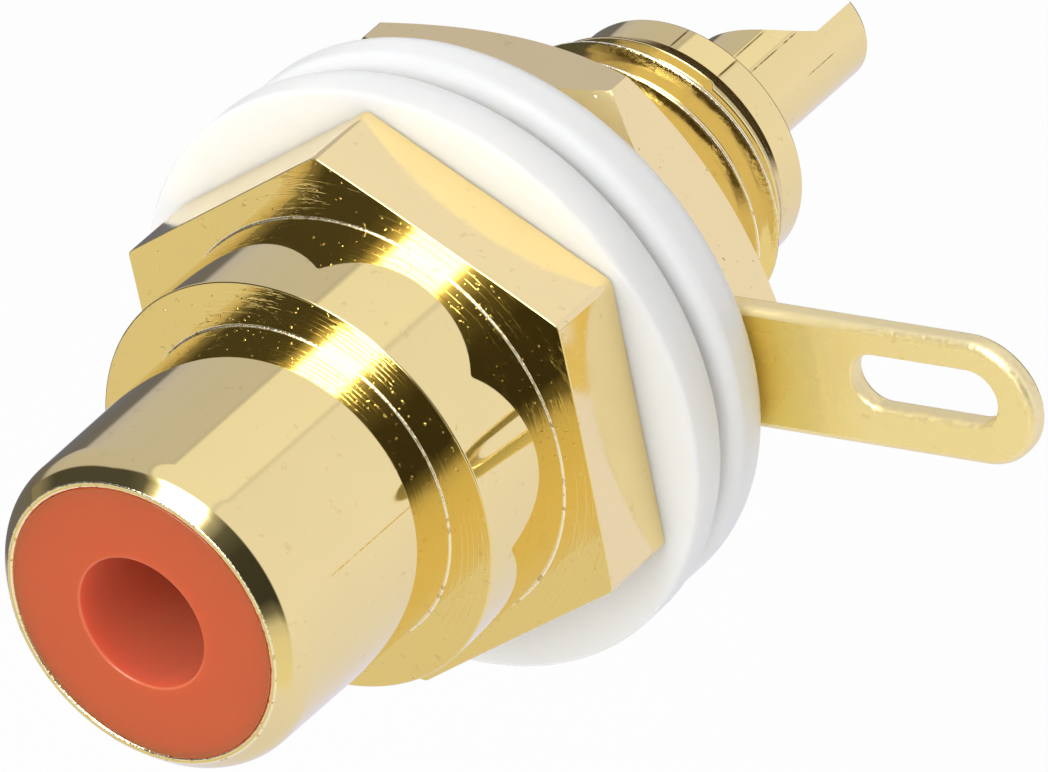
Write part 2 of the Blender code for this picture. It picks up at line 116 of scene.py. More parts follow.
class ShellSizes(bpy.types.PropertyGroup):
    """Sizes of the turned shell."""

    barrel_length: length("Barrel length", 6.29, "Plain barrel, from the mouth to the collar")
    barrel_tip: length("Barrel radius at the tip", 4.11, "Radius just behind the nose")
    barrel_root: length("Barrel radius at the root", 4.165, "Radius where the barrel meets the collar")
    mouth: length("Mouth radius", 3.504, "Bore that holds the front insulator")
    lip: length("Lip width", 0.15, "Flat rim round the insulator")
    insulator_seat: length("Insulator seat", 10.23, "From the mouth to the shoulder in the bore")
    nose_angle: angle("Nose angle", 42.0, "Slope of the bevel behind the lip, from the axis")
    nose_blend: length("Nose blend", 0.88, "Radius that runs the bevel into the barrel")
    collar_length: length("Collar length", 2.98, "From the barrel's root to the hexagon")
    collar_radius: length("Collar radius", 5.30, "Radius of the collar")
    hexagon_length: length("Hexagon length", 2.15, "Thickness of the hexagon")
    across_flats: length("Across flats", 12.08, "Width of the hexagon across its flats")
    corner_round: length("Corner round", 0.22, "Radius along each corner of the hexagon")
    hexagon_edge: length("Hexagon edge", 0.03, "Small round on the hexagon's front edge")
    face_dish: length("Face dish", 0.05, "How far the hexagon's front corners stand proud of its middle")
    dish_margin: length("Dish margin", 0.50, "Flat part of the hexagon's face round the collar")
    ring_pitch: length("Ring pitch", 0.055, "Width of the rings that the facing tool leaves")
    ring_height: length("Ring height", 0.00022, "Unevenness from one ring to the next")
    root_fillet: length("Root fillet", 0.05, "Fillets at the roots of the barrel and the collar")
    thread_radius: length("Thread radius", 3.87, "Radius over the crests")
    thread_length: length("Thread length", 9.48, "From the hexagon to the end of the thread")
    thread_pitch: length("Pitch", 0.85, "Advance in one turn")
    thread_depth: length("Thread depth", 0.50, "From crest to root")
    thread_crest: length("Thread crest", 0.05, "Width of a crest")
    thread_round: length("Thread round", 0.03, "Softness of crests and roots")
    thread_start: share("Thread start", 0.85, "Where on the turn a crest begins")
    taper_length: length("Taper length", 0.65, "From the end of the thread to the foot of its run-out")
    taper_angle: angle("Taper angle", 28.6, "Slope of the run-out, from the axis")
    neck_radius: length("Neck radius", 3.27, "Radius of the neck behind the thread")
    neck_length: length("Neck length", 1.50, "From the end of the thread to the rolled lip")
    neck_bore: length("Neck bore", 2.72, "Bore through the shank and neck")
    lip_bore: length("Rolled lip bore", 2.20, "Opening in the lip that holds the insulators in")
    lip_thickness: length("Rolled lip thickness", 0.40, "Thickness of the rolled lip")
    edge_break: length("Edge break", 0.05, "Small round on turned edges")


class InsulatorSizes(bpy.types.PropertyGroup):
    """Sizes of the two insulators."""

    head_radius: length("Head radius", 3.50, "Red insulator in the barrel")
    head_length: length("Head length", 10.20, "Length of the wide part")
    spigot_radius: length("Spigot radius", 2.69, "Part that lies in the shank")
    front_length: length("Front insulator length", 15.95, "Whole length of the red insulator")
    hole_radius: length("Hole radius", 1.69, "Hole for the plug's pin")
    hole_length: length("Hole length", 3.60, "Depth of the pin's hole")
    hole_round: length("Hole edge round", 0.07, "Round at the mouth of the hole")
    chamber_radius: length("Chamber radius", 2.14, "Chamber that holds the contact's sleeve")
    bush_hole: length("Bush hole", 1.47, "Hole in the rear insulator for the contact")
    bush_spigot: length("Bush spigot", 2.17, "Part of the rear insulator inside the rolled lip")
    bush_start: length("Bush start", 4.06, "Front face of the rear insulator, from the origin")
    bush_shoulder: length("Bush shoulder", 9.02, "Shoulder behind the rolled lip, from the origin")


class ContactSizes(bpy.types.PropertyGroup):
    """Sizes of the centre contact."""

    mouth_setback: length("Mouth setback", 3.90, "From the socket's front to the sleeve's mouth")
    mouth_bore: length("Mouth bore", 1.50, "Sprung mouth that grips the pin")
    mouth_chamfer: length("Mouth chamfer", 0.20, "Chamfer that leads the pin in")
    sleeve_bore: length("Sleeve bore", 1.62, "Bore behind the mouth")
    sleeve_wall: length("Sleeve wall", 0.45, "Wall of the sleeve")
    sleeve_depth: length("Sleeve depth", 11.60, "Depth of the sleeve's bore")
    slit_width: length("Slit width", 0.35, "Width of the crossed slits")
    slit_length: length("Slit length", 7.50, "Length of the crossed slits")
    flange_radius: length("Flange radius", 2.60, "Flange between the two insulators")
    flange_start: length("Flange start", 3.03, "Front face of the flange, from the origin")
    flange_thickness: length("Flange thickness", 1.00, "Thickness of the flange")
    cup_radius: length("Cup radius", 1.44, "Outside of the solder cup")
    cup_bore: length("Cup bore", 1.02, "Bore of the solder cup")
    cup_depth: length("Cup depth", 4.30, "Depth of the solder cup")
    drill_point: length("Drill point", 0.50, "Depth of the cone that a drill leaves at the end of a bore")
    scoop_floor: length("Scoop floor", -0.10, "Height of the cut's flat over the axis")
    scoop_length: length("Scoop length", 1.45, "Length of the cut's flat")
    scoop_radius: length("Scoop radius", 4.20, "Radius of the hollow behind the flat")
    scoop_angle: angle("Scoop heel", 29.0, "Slope where the hollow meets the flat")
    scoop_direction: angle("Scoop direction", 130.3, "Side on which the cup is cut open")


class WasherSizes(bpy.types.PropertyGroup):
    """Sizes of the two insulating washers."""

    front_radius: length("Front washer radius", 7.59, "Outside of the front washer")
    front_thickness: length("Front washer thickness", 1.50, "Thickness of the front washer")
    front_edge: length("Front washer front edge", 0.12, "Round on the edge towards the mouth")
    front_back_edge: length("Front washer rear edge", 0.75, "Round on the edge towards the panel")
    front_bore: length("Front washer bore", 5.04, "Hole that takes the rear washer's collar")
    front_x: length("Front washer offset X", -0.16, "How far the washer hangs off the axis")
    front_z: length("Front washer offset Z", -0.22, "How far the washer hangs off the axis")
    rear_radius: length("Rear washer radius", 7.46, "Outside of the rear washer")
    rear_thickness: length("Rear washer thickness", 1.35, "Thickness of the rear washer")
    rear_edge: length("Rear washer front edge", 0.30, "Round on the edge towards the panel")
    rear_back_edge: length("Rear washer rear edge", 0.60, "Round on the edge towards the tag")
    rear_bore: length("Rear washer bore", 4.09, "Hole for the thread")
    rear_x: length("Rear washer offset X", 0.15, "How far the washer hangs off the axis")
    rear_z: length("Rear washer offset Z", 0.01, "How far the washer hangs off the axis")
    collar_radius: length("Collar radius", 4.59, "Collar that lines the panel's hole")
    collar_height: length("Collar height", 1.20, "How far the collar stands forward")


class TagSizes(bpy.types.PropertyGroup):
    """Sizes of the solder tag."""

    reach: length("Reach", 14.8995, "From the ring's centre to the tip")
    width: length("Width", 3.26, "Width of the tongue")
    ring_radius: length("Ring radius", 5.70, "Outside of the ring")
    hole_radius: length("Hole radius", 4.37, "Hole for the thread")
    fillet: length("Fillet", 1.00, "Fillet between ring and tongue")
    edge_round: length("Edge round", 0.10, "Pressed round on the edges")
    front_roll: length("Front roll", 0.20, "Rolled-over edge that the press leaves round the front")
    slot_burr: length("Slot burr", 0.16, "Torn edge along the slot's lower side")
    slot_width: length("Slot width", 1.42, "Width of the slot")
    slot_length: length("Slot length", 3.98, "Length of the slot")
    slot_margin: length("Slot margin", 0.96, "Metal between slot and tip")
    slot_rise: length("Slot rise", 0.17, "How far the slot is off the tongue's middle")
    offset_z: length("Offset Z", -0.42, "How far the tag hangs off the axis")
    turn: angle("Turn", 0.75, "How far the tag is turned from +X")
    crease: length("Crease", 9.0, "Where a faint bend crosses the tongue")


class NutSizes(bpy.types.PropertyGroup):
    """Sizes of the hex nut."""

    across_flats: length("Across flats", 11.95, "Width across the flats")
    corner_direction: angle("Corner direction", 57.0, "Direction of one corner")
    corner_round: length("Corner round", 0.10, "Radius along each corner")
    chamfer_depth: length("Chamfer depth", 0.67, "Depth of the chamfer at a corner")
    chamfer_angle: angle("Chamfer angle", 33.0, "Slope of the chamfer from the face")
    thread_play: length("Thread play", 0.05, "Gap between the nut's thread and the shell's")
    countersink: length("Countersink", 0.22, "Chamfer at each end of the thread")


class Finish(bpy.types.PropertyGroup):
    """Colours of the plating and the plastics."""

    gold: colour("Gold plate", (0.87, 0.705, 0.305), "Polished plating")
    flats_gold: colour("Gold on the flats", (0.88, 0.71, 0.355), "Polished plating on the hexagons' flats")
    # Gold on the edges: burred plating, painted pale as a highlight on small rounds, root fillets and thread
    # crests
    edge_gold_and_painted_highlight: colour("Gold on the edges", (0.98, 0.91, 0.66), "Plating over burred edges, painted pale as a highlight")
    gold_worn: colour("Gold in the freckles", (0.62, 0.43, 0.17), "Small spots where the plating is thin")
    dark_hairline: colour("Dark hairlines", (0.20, 0.12, 0.035), "Dark hairlines along the neck and the solder cup")
    scratch: colour("Scratch", (0.70, 0.44, 0.08), "Hairline scratch on the barrel")
    gold_roughness: share("Gold roughness", 0.035, "Blur of the polished plating")
    flats_roughness: share("Roughness of the flats", 0.11, "Blur of the plating on the hexagons' flats")
    tag_gold: colour("Tag gold", (1.0, 0.855, 0.43), "Satin plating of the tag")
    # Tag gold by the ring: a painted reflection of the gold body on the tongue near the ring, and the colour
    # of the freckles on the pressed edges
    tag_freckles_and_reflection: colour("Tag gold by the ring", (0.90, 0.68, 0.17), "Painted reflection of the gold body near the ring, and the pressed edges' freckles")
    tag_rim: colour("Tag rim", (0.97, 0.82, 0.43), "Bright plating on the tag's pressed edges")
    tag_roughness: share("Tag roughness", 0.27, "Blur of the satin plating")
    red: colour("Red insulator", (0.585, 0.101, 0.028), "Moulded insulator in the mouth")
    # Red in the hole: painted light, a paler tint on the hole's wall that stands in for light inside it
    red_hole_painted_light: colour("Red in the hole", (0.80, 0.215, 0.115), "Painted light in the insulator's hole, paler than its face")
    nylon: colour("White nylon", (0.945, 0.941, 0.928), "Washers")
    bush: colour("White bush", (0.84, 0.84, 0.81), "Rear insulator")


class StageSettings(bpy.types.PropertyGroup):
    """Floor, light and camera."""

    floor_drop: length("Floor drop", 40.0, "How far the floor lies below the socket's axis")
    floor_size: length("Floor size", 3000.0, "Side of the floor")
    sky: share("Sky", 0.92, "Even light from all round, less from the tag's side")
    key_power: share("Key power", 1.0, "Strength of the softbox over the mouth")
    key_reach: length("Softbox distance", 800.0, "From the socket to the softbox")
    key_side: length("Softbox side", 450.0, "Side of the square softbox")
    camera_place: FloatVectorProperty(
        name="Camera place",
        description="Where the camera stands",
        default=(0.258530, -0.308738, 0.219206),
        unit="LENGTH",
        subtype="TRANSLATION",
        precision=5,
    )
    camera_turn: FloatVectorProperty(
        name="Camera turn",
        description="How the camera is turned",
        default=[math.radians(degrees) for degrees in (60.7659, 10.247, 34.0798)],
        unit="ROTATION",
        subtype="EULER",
    )
    lens_px: FloatProperty(
        name="Focal length", description="Focal length in pixels of the picture", default=20000.0
    )
    picture_width: IntProperty(
        name="Picture width", description="Width of the camera's picture", default=1048, subtype="PIXEL"
    )


class SocketSettings(bpy.types.PropertyGroup):
    """All the sizes and colours of the socket."""

    shell: PointerProperty(name="Shell", description="Sizes of the turned shell", type=ShellSizes)
    insulators: PointerProperty(name="Insulators", description="Sizes of the insulators", type=InsulatorSizes)
    contact: PointerProperty(name="Contact", description="Sizes of the centre contact", type=ContactSizes)
    washers: PointerProperty(name="Washers", description="Sizes of the washers", type=WasherSizes)
    tag: PointerProperty(name="Tag", description="Sizes of the solder tag", type=TagSizes)
    nut: PointerProperty(name="Nut", description="Sizes of the hex nut", type=NutSizes)
    finish: PointerProperty(name="Finish", description="Colours of plating and plastics", type=Finish)
    stage: PointerProperty(name="Stage", description="Floor, light and camera", type=StageSettings)


def settings():
    """The sizes and colours of the socket."""
    return bpy.context.scene.phono_socket


# Skins: grids of quads that carry their exact normals


def new_skin():
    """An empty skin."""
    return {"points": [], "normals": [], "slots": []}


def around(radius, along, angles):
    """Points on a ring. radius and along may be one number or one for each angle."""
    shape = np.zeros(len(angles))
    return np.stack([radius * np.cos(angles), along + shape, radius * np.sin(angles)], axis=1)


def spread(normal, angles):
    """Turns one (radial, axial) normal round the axis."""
    return around(normal[0], normal[1], angles)


def add_strip(skin, start, end, start_normal, end_normal, slot=TURNED):
    """Quads between two rows of points, each row with its normals."""
    a, b = start[:-1], start[1:]
    c, d = end[1:], end[:-1]
    skin["points"].append(np.stack([a, d, c, b], axis=1))
    na, nb = start_normal[:-1], start_normal[1:]
    nc, nd = end_normal[1:], end_normal[:-1]
    skin["normals"].append(np.stack([na, nd, nc, nb], axis=1))
    skin["slots"].append(np.full(len(a), slot))


def full_turn(steps):
    """Angles once round."""
    return np.linspace(0.0, math.tau, steps + 1)


def section(corners, steps=5):
    """Rows (radius, y, normal before, normal after, slot) through (radius, y, corner radius) points.

    The section runs rearwards on the outside of the solid, so that its normals face out. Small rounds get the
    slot EDGE.
    """
    rows = []
    count = len(corners)
    for index, (radius, along, corner_radius) in enumerate(corners):
        corner = Vector((radius, along))
        before = corner - Vector(corners[index - 1][:2])
        after = Vector(corners[(index + 1) % count][:2]) - corner
        before.normalize()
        after.normalize()
        normal_before = Vector((before.y, -before.x))
        normal_after = Vector((after.y, -after.x))
        if corner_radius == 0.0:
            rows.append((corner.x, corner.y, normal_before, normal_after, TURNED))
            continue
        half = (-before).angle(after) / 2.0
        reach = corner_radius / math.tan(half)
        start = corner - before * reach
        side = 1.0 if normal_before.dot(after) < 0.0 else -1.0
        centre = start - normal_before * corner_radius * side
        swing = normal_before.angle_signed(normal_after)
        for step in range(steps + 1):
            normal = Matrix.Rotation(-swing * step / steps, 2) @ normal_before
            point = centre + normal * corner_radius * side
            slot = EDGE if corner_radius < SMALL_ROUND and step < steps else TURNED
            rows.append((point.x, point.y, normal, normal, slot))
    return rows


def add_turned(skin, rows, angles, closed=True, edges=False):
    """A surface turned about Y through a section's rows. With edges, small rounds get the painted edge
    highlight.
    """
    last = len(rows) if closed else len(rows) - 1
    for index in range(last):
        r0, y0, _, n0, slot = rows[index]
        r1, y1, n1, _, _ = rows[(index + 1) % len(rows)]
        if abs(r1 - r0) + abs(y1 - y0) < TOO_SHORT:
            continue
        start, end = around(r0, y0, angles), around(r1, y1, angles)
        add_strip(skin, start, end, spread(n0, angles), spread(n1, angles), slot if edges else TURNED)


# Deeper grooves of the facing tool, at steps in mm from a root, that keep other rings a little away
COLLAR_GROOVES = (0.34, 0.50, 0.65, 0.79, 0.94)
COLLAR_GROOVE_HALF = 0.012 * MM
HEXAGON_GROOVES = (0.36, 0.60, 1.02)
HEXAGON_GROOVE_HALF = 0.010 * MM
GROOVE_DEPTH = 0.004 * MM
GROOVE_CLEARANCE = 1.2

# The grooves are faint all round, and full where the tool bit, as (degrees, spread)
GROOVE_FAINT = 0.12
GROOVE_BITES = ((-28.0, 26.0), (57.0, 18.0))


def grooves_from(root, steps, half):
    """Grooves as (radius, half width, depth), at steps in mm from a root."""
    return [(root + step * MM, half, GROOVE_DEPTH) for step in steps]


def ring_profile(inner, outer, sizes, grooves, seed, dish_start=None):
    """The fine rings that a facing tool leaves on a turned face.

    Gives the radii of the rings, their heights, and how deep each one is where it lies in a groove.
    """
    count = max(2, round((outer - inner) / sizes.ring_pitch))
    radii = np.linspace(inner, outer, count + 1)
    for radius, half, _ in grooves:
        radii = radii[np.abs(radii - radius) > half * GROOVE_CLEARANCE]
        radii = np.sort(np.concatenate([radii, [radius - half, radius, radius + half]]))
    heights = np.random.default_rng(seed).normal(0.0, sizes.ring_height, len(radii))
    heights[[0, -1]] = 0.0
    if dish_start is not None:
        rise = np.clip((radii - dish_start) / (outer - dish_start), 0.0, 1.0)
        heights -= sizes.face_dish * rise**2
    depths = np.zeros(len(radii))
    for radius, _, depth in grooves:
        depths[np.argmin(np.abs(radii - radius))] = depth
    return radii, heights, depths


def groove_strength(angles):
    """How deep the grooves of the facing tool are round the turn."""
    strength = np.full(len(angles), GROOVE_FAINT)
    for middle, width in GROOVE_BITES:
        turn = (np.degrees(angles) - middle + 180.0) % 360.0 - 180.0
        strength += (1.0 - GROOVE_FAINT) * np.exp(-((turn / width) ** 2))
    return strength


def face_height(radius, profile, strength):
    """How far a turned face lies behind its plane at a radius."""
    radii, heights, depths = profile
    return np.interp(radius, radii, heights) + np.interp(radius, radii, depths) * strength


def add_face(skin, profile, base, angles, limit):
    """A face turned square to the axis, ring by ring, out to a limit that may change round the turn."""
    radii, heights, depths = profile
    strength = groove_strength(angles)
    for inner, outer in zip(range(len(radii) - 1), range(1, len(radii))):
        r0 = np.minimum(radii[inner], limit)
        r1 = np.minimum(radii[outer], limit)
        start = around(r0, base + face_height(r0, profile, strength), angles)
        end = around(r1, base + face_height(r1, profile, strength), angles)
        climb = heights[outer] - heights[inner] + (depths[outer] - depths[inner]) * strength
        reach = radii[outer] - radii[inner]
        size = np.hypot(climb, reach)
        normal = around(climb / size, -reach / size, angles)
        add_strip(skin, start, end, normal, normal)


def add_fillet(skin, radius, along, reach, angles, steps=5):
    """A concave fillet from a cylinder to the face behind it, burnished and painted pale as a highlight."""
    turns = np.linspace(0.0, QUARTER, steps + 1)
    rows = []
    for turn in turns:
        row_radius = radius + reach * (1.0 - math.cos(turn))
        row_along = along - reach * (1.0 - math.sin(turn))
        normal = (math.cos(turn), -math.sin(turn))
        rows.append((around(row_radius, row_along, angles), spread(normal, angles)))
    for start, end in zip(rows, rows[1:]):
        add_strip(skin, start[0], end[0], start[1], end[1], EDGE)


def hexagon_angles(corner_direction, apothem, corner_round, flat_steps=30, corner_steps=8):
    """Angles once round, closer together at a hexagon's corners."""
    tangent = math.atan((apothem - corner_round) * math.tan(math.pi / 6.0) / apothem)
    found = []
    for index in range(6):
        flat = corner_direction + math.pi / 6.0 + index * math.pi / 3.0
        found += list(flat + np.linspace(-tangent, tangent, flat_steps, endpoint=False))
        found += list(flat + np.linspace(tangent, math.pi / 3.0 - tangent, corner_steps, endpoint=False))
    return np.array(found + [found[0] + math.tau])


def hexagon_outline(angles, corner_direction, apothem, corner_round):
    """Radius and (x, z) normals of a hexagon with rounded corners, at each angle."""
    tangent = math.atan((apothem - corner_round) * math.tan(math.pi / 6.0) / apothem)
    sector = np.round((angles - corner_direction - math.pi / 6.0) / (math.pi / 3.0))
    flat = corner_direction + math.pi / 6.0 + sector * math.pi / 3.0
    turn = angles - flat
    radius = apothem / np.cos(turn)
    heading = flat.copy()
    centre = (apothem - corner_round) / math.cos(math.pi / 6.0)
    in_corner = np.abs(turn) > tangent + SAME_ANGLE
    corner = flat + np.sign(turn) * math.pi / 6.0
    swing = (angles - corner)[in_corner]
    radius[in_corner] = centre * np.cos(swing) + np.sqrt(corner_round**2 - (centre * np.sin(swing)) ** 2)
    x = radius * np.cos(angles) - centre * np.cos(corner)
    z = radius * np.sin(angles) - centre * np.sin(corner)
    heading[in_corner] = np.arctan2(z, x)[in_corner]
    return radius, np.stack([np.cos(heading), np.zeros(len(angles)), np.sin(heading)], axis=1)


def soft_floor(value, softness):
    """The value where it is above nought, with a soft turn to nought below."""
    return 0.5 * (value + np.sqrt(value**2 + softness**2))


def thread_radius(along, angles, sizes):
    """Radius of the shell's thread: narrow crests, a 60 degree groove, right-handed along +Y."""
    turns = along / sizes.thread_pitch + angles / math.tau - sizes.thread_start
    from_crest = np.abs(turns - np.round(turns)) * sizes.thread_pitch
    flank = (from_crest - sizes.thread_crest / 2.0) * math.sqrt(3.0)
    drop = soft_floor(flank, sizes.thread_round)
    drop = sizes.thread_depth - soft_floor(sizes.thread_depth - drop, sizes.thread_round)
    return sizes.thread_radius - drop


# Rows beside a crest, in mm from it and close together at crest and root, and the row in the root
FLANK_ROWS = np.array([0.025, 0.05, 0.09, 0.2, 0.28, 0.31, 0.34, 0.38])
ROOT_ROW = 0.425
THREAD_ROWS = np.concatenate([-FLANK_ROWS[::-1], [0.0], FLANK_ROWS, [ROOT_ROW]]) * MM

# The part of a turn that is burnished as its crest, painted pale as a highlight
CREST_START, CREST_END = -0.03 * MM, 0.02 * MM

# Steps for the slopes of the thread's surface, along the axis and round it
SMALL_STEP = 1e-7
SMALL_TURN = 1e-4


def thread_rows(sizes, low, high, angles, shape):
    """Rows (points, normals, slot) of a thread between two planes, with normals away from the axis."""
    pitch = sizes.thread_pitch
    phase = low / pitch + angles[0] / math.tau + 1.0 - sizes.thread_start
    first = math.floor(phase) - 1
    turns = math.ceil((high - low) / pitch) + 3
    offsets = (np.arange(turns)[:, None] + first + THREAD_ROWS / pitch).ravel() - phase
    offsets = np.concatenate([[-1.0], offsets[(offsets > -1.0) & (offsets < turns - 1.0)], [turns - 1.0]])
    found = []
    for offset in offsets:
        along = np.clip(low + pitch * (offset - (angles - angles[0]) / math.tau + 1.0), low, high)
        radius = shape(along, angles)
        climb = shape(along + SMALL_STEP, angles) - shape(along - SMALL_STEP, angles)
        lean = shape(along, angles + SMALL_TURN) - shape(along, angles - SMALL_TURN)
        slope = climb / (2.0 * SMALL_STEP)
        lean = lean / (2.0 * SMALL_TURN * radius)
        outward = around(1.0, 0.0, angles)
        sideways = np.stack([-np.sin(angles), np.zeros(len(angles)), np.cos(angles)], axis=1)
        normal = outward - slope[:, None] * AXIS - lean[:, None] * sideways
        normal /= np.linalg.norm(normal, axis=1)[:, None]
        turn = offset + phase
        on_crest = CREST_START < (turn - round(turn)) * pitch < CREST_END
        found.append((around(radius, along, angles), normal, EDGE if on_crest else THREAD))
    return found


def mesh_object(name, skin, materials):
    """Welds a skin's quads into one mesh that keeps their normals."""
    points = np.concatenate(skin["points"]).reshape(-1, 3)
    normals = np.concatenate(skin["normals"]).reshape(-1, 4, 3)
    slots = np.concatenate(skin["slots"])
    grid = np.round(points / WELD).astype(np.int64)
    _, first, index = np.unique(grid, axis=0, return_index=True, return_inverse=True)
    quads = index.reshape(-1, 4)
    faces, corner_normals, face_slots = [], [], []
    for quad, normal, slot in zip(quads.tolist(), normals, slots.tolist()):
        kept = [k for k in range(4) if quad[k] != quad[k - 1]]
        if len(kept) < 3 or len({quad[k] for k in kept}) < len(kept):
            continue
        faces.append([quad[k] for k in kept])
        corner_normals.extend(normal[k] for k in kept)
        face_slots.append(slot)
    mesh = bpy.data.meshes.new(name)
    mesh.from_pydata(points[first].tolist(), [], faces)
    mesh.polygons.foreach_set("material_index", face_slots)
    mesh.shade_smooth()
    mesh.normals_split_custom_set(corner_normals)
    for material in materials:
        mesh.materials.append(material)
    obj = bpy.data.objects.new(name, mesh)
    bpy.context.scene.collection.objects.link(obj)
    return obj


def finish_piece(obj, body, node):
    """Puts a piece on its body, in the place of its CAD node, which it hides."""
    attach(obj, body)
    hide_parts(node)
    return obj


# Materials


class Nodes:
    """A short way to lay out a node tree."""

    def __init__(self, tree):
        self.tree = tree
        tree.nodes.clear()

    def add(self, kind, inputs=None, **settings):
        """Adds a node, and links or sets its inputs."""
        node = self.tree.nodes.new(kind)
        for name, value in settings.items():
            setattr(node, name, value)
        for name, value in (inputs or {}).items():
            if isinstance(value, bpy.types.NodeSocket):
                self.tree.links.new(value, node.inputs[name])
            else:
                node.inputs[name].default_value = value
        return node

    def math(self, operation, first, second=0.0, clamp=False):
        """A sum, product or other working out of one or two values."""
        inputs = {0: first, 1: second}
        return self.add("ShaderNodeMath", inputs, operation=operation, use_clamp=clamp).outputs[0]

    def map(self, value, low, high, to_low, to_high, smooth=False):
        """Maps a range of values onto another, held at its ends."""
        kind = "SMOOTHSTEP" if smooth else "LINEAR"
        inputs = {"Value": value, "From Min": low, "From Max": high, "To Min": to_low, "To Max": to_high}
        return self.add("ShaderNodeMapRange", inputs, interpolation_type=kind).outputs["Result"]

    def noise(self, vector, scale, detail=2.0, roughness=0.5):
        """A noise pattern that varies about 0.5."""
        inputs = {"Vector": vector, "Scale": scale, "Detail": detail, "Roughness": roughness}
        return self.add("ShaderNodeTexNoise", inputs).outputs[0]

    def mix(self, factor, first, second):
        """A colour between two colours."""
        inputs = {0: factor, 6: first, 7: second}
        return self.add("ShaderNodeMix", inputs, data_type="RGBA").outputs[2]

    def bump(self, height, distance, normal=None):
        """A bumped normal. The distance is in metres."""
        inputs = {"Height": height, "Distance": distance}
        if normal is not None:
            inputs["Normal"] = normal
        return self.add("ShaderNodeBump", inputs).outputs["Normal"]


def rgba(value):
    """A colour with full cover."""
    return (*value, 1.0)


def start_material(name):
    """A new material, its nodes, and positions on the piece in millimetres."""
    material = bpy.data.materials.get(name) or bpy.data.materials.new(name)
    material.use_nodes = True
    nodes = Nodes(material.node_tree)
    place = nodes.add("ShaderNodeTexCoord").outputs["Object"]
    scaled = nodes.add("ShaderNodeVectorMath", {0: place, "Scale": 1000.0}, operation="SCALE").outputs[0]
    return material, nodes, scaled


def end_material(nodes, inputs):
    """Ends a material's tree with one shader."""
    surface = nodes.add("ShaderNodeBsdfPrincipled", inputs)
    nodes.add("ShaderNodeOutputMaterial", {"Surface": surface.outputs[0]})
    return surface


def end_plating(nodes, plate, roughness, normal, metallic=1.0):
    """Ends a plating's tree."""
    inputs = {"Base Color": plate, "Metallic": metallic, "Roughness": roughness, "Normal": normal}
    return end_material(nodes, inputs)


def varied(nodes, pattern, value, spread_share):
    """A value that a noise pattern varies by a share of itself, up and down."""
    return nodes.map(pattern, 0.3, 0.7, (1.0 - spread_share) * value, (1.0 + spread_share) * value)


def clouded(nodes, clouds, tint, darkest):
    """A tint that goes down to a share of itself in the clouds of a noise pattern."""
    return nodes.mix(clouds, rgba(tint), rgba(tuple(darkest * part for part in tint)))


def freckled(nodes, place, base, spot):
    """Plating colour with small spots where it is thin."""
    specks = nodes.noise(place, scale=2.6, detail=3.0, roughness=0.6)
    mask = nodes.map(specks, 0.64, 0.74, 0.0, 0.35, smooth=True)
    shade = clouded(nodes, nodes.noise(place, scale=0.5, detail=2.0), base, 0.965)
    return nodes.mix(mask, shade, rgba(spot))


def distance_from_axis(nodes, place):
    """How far each point is from the socket's axis, in millimetres."""
    x, _, z = nodes.add("ShaderNodeSeparateXYZ", {0: place}).outputs
    return nodes.math("SQRT", nodes.math("ADD", nodes.math("MULTIPLY", x, x), nodes.math("MULTIPLY", z, z)))


# Hairlines along the axis: (degrees, from y, to y, half width, breaks), with lengths in mm
# Dark lines along the axis on the neck and the solder cup, at set angles round the turn
DARK_HAIRLINES = [
    (75.5, 8.5, 9.5, 0.035, 0.0),
    (51.3, 8.5, 9.5, 0.035, 0.0),
    (69.7, 11.2, 12.6, 0.030, 0.3),
    (48.2, 11.1, 13.2, 0.022, 0.8),
    (9.0, 12.6, 13.9, 0.015, 1.0),
]
SCRATCHES = [(10.8, -11.0, -7.6, 0.028, 0.7)]
HAIRLINE_FADE = 0.25
HAIRLINE_CORE = 0.4


def hairlines(nodes, place, radius, turn, lines):
    """How much of each point lies on a hairline, from 0 to 1."""
    along = nodes.add("ShaderNodeSeparateXYZ", {0: place}).outputs[1]
    gaps = nodes.map(nodes.noise(place, scale=6.0, detail=2.0), 0.38, 0.56, 0.0, 1.0)
    total = 0.0
    for direction, start, end, half_width, breaks in lines:
        aside = nodes.math("ABSOLUTE", nodes.math("SUBTRACT", turn, math.radians(direction)))
        aside = nodes.math("MULTIPLY", aside, radius)
        line = nodes.map(aside, HAIRLINE_CORE * half_width, half_width, 1.0, 0.0)
        line = nodes.math("MULTIPLY", line, nodes.map(along, start, start + HAIRLINE_FADE, 0.0, 1.0))
        line = nodes.math("MULTIPLY", line, nodes.map(along, end - HAIRLINE_FADE, end, 1.0, 0.0))
        line = nodes.math("MULTIPLY", line, nodes.map(gaps, 0.0, 1.0, 1.0 - breaks, 1.0))
        total = nodes.math("ADD", total, line, clamp=True)
    return total


# Torn streaks of the facing tool: how many lie across a millimetre, and round a radian
STREAKS_ACROSS = 10.0
STREAKS_ROUND = 9.0


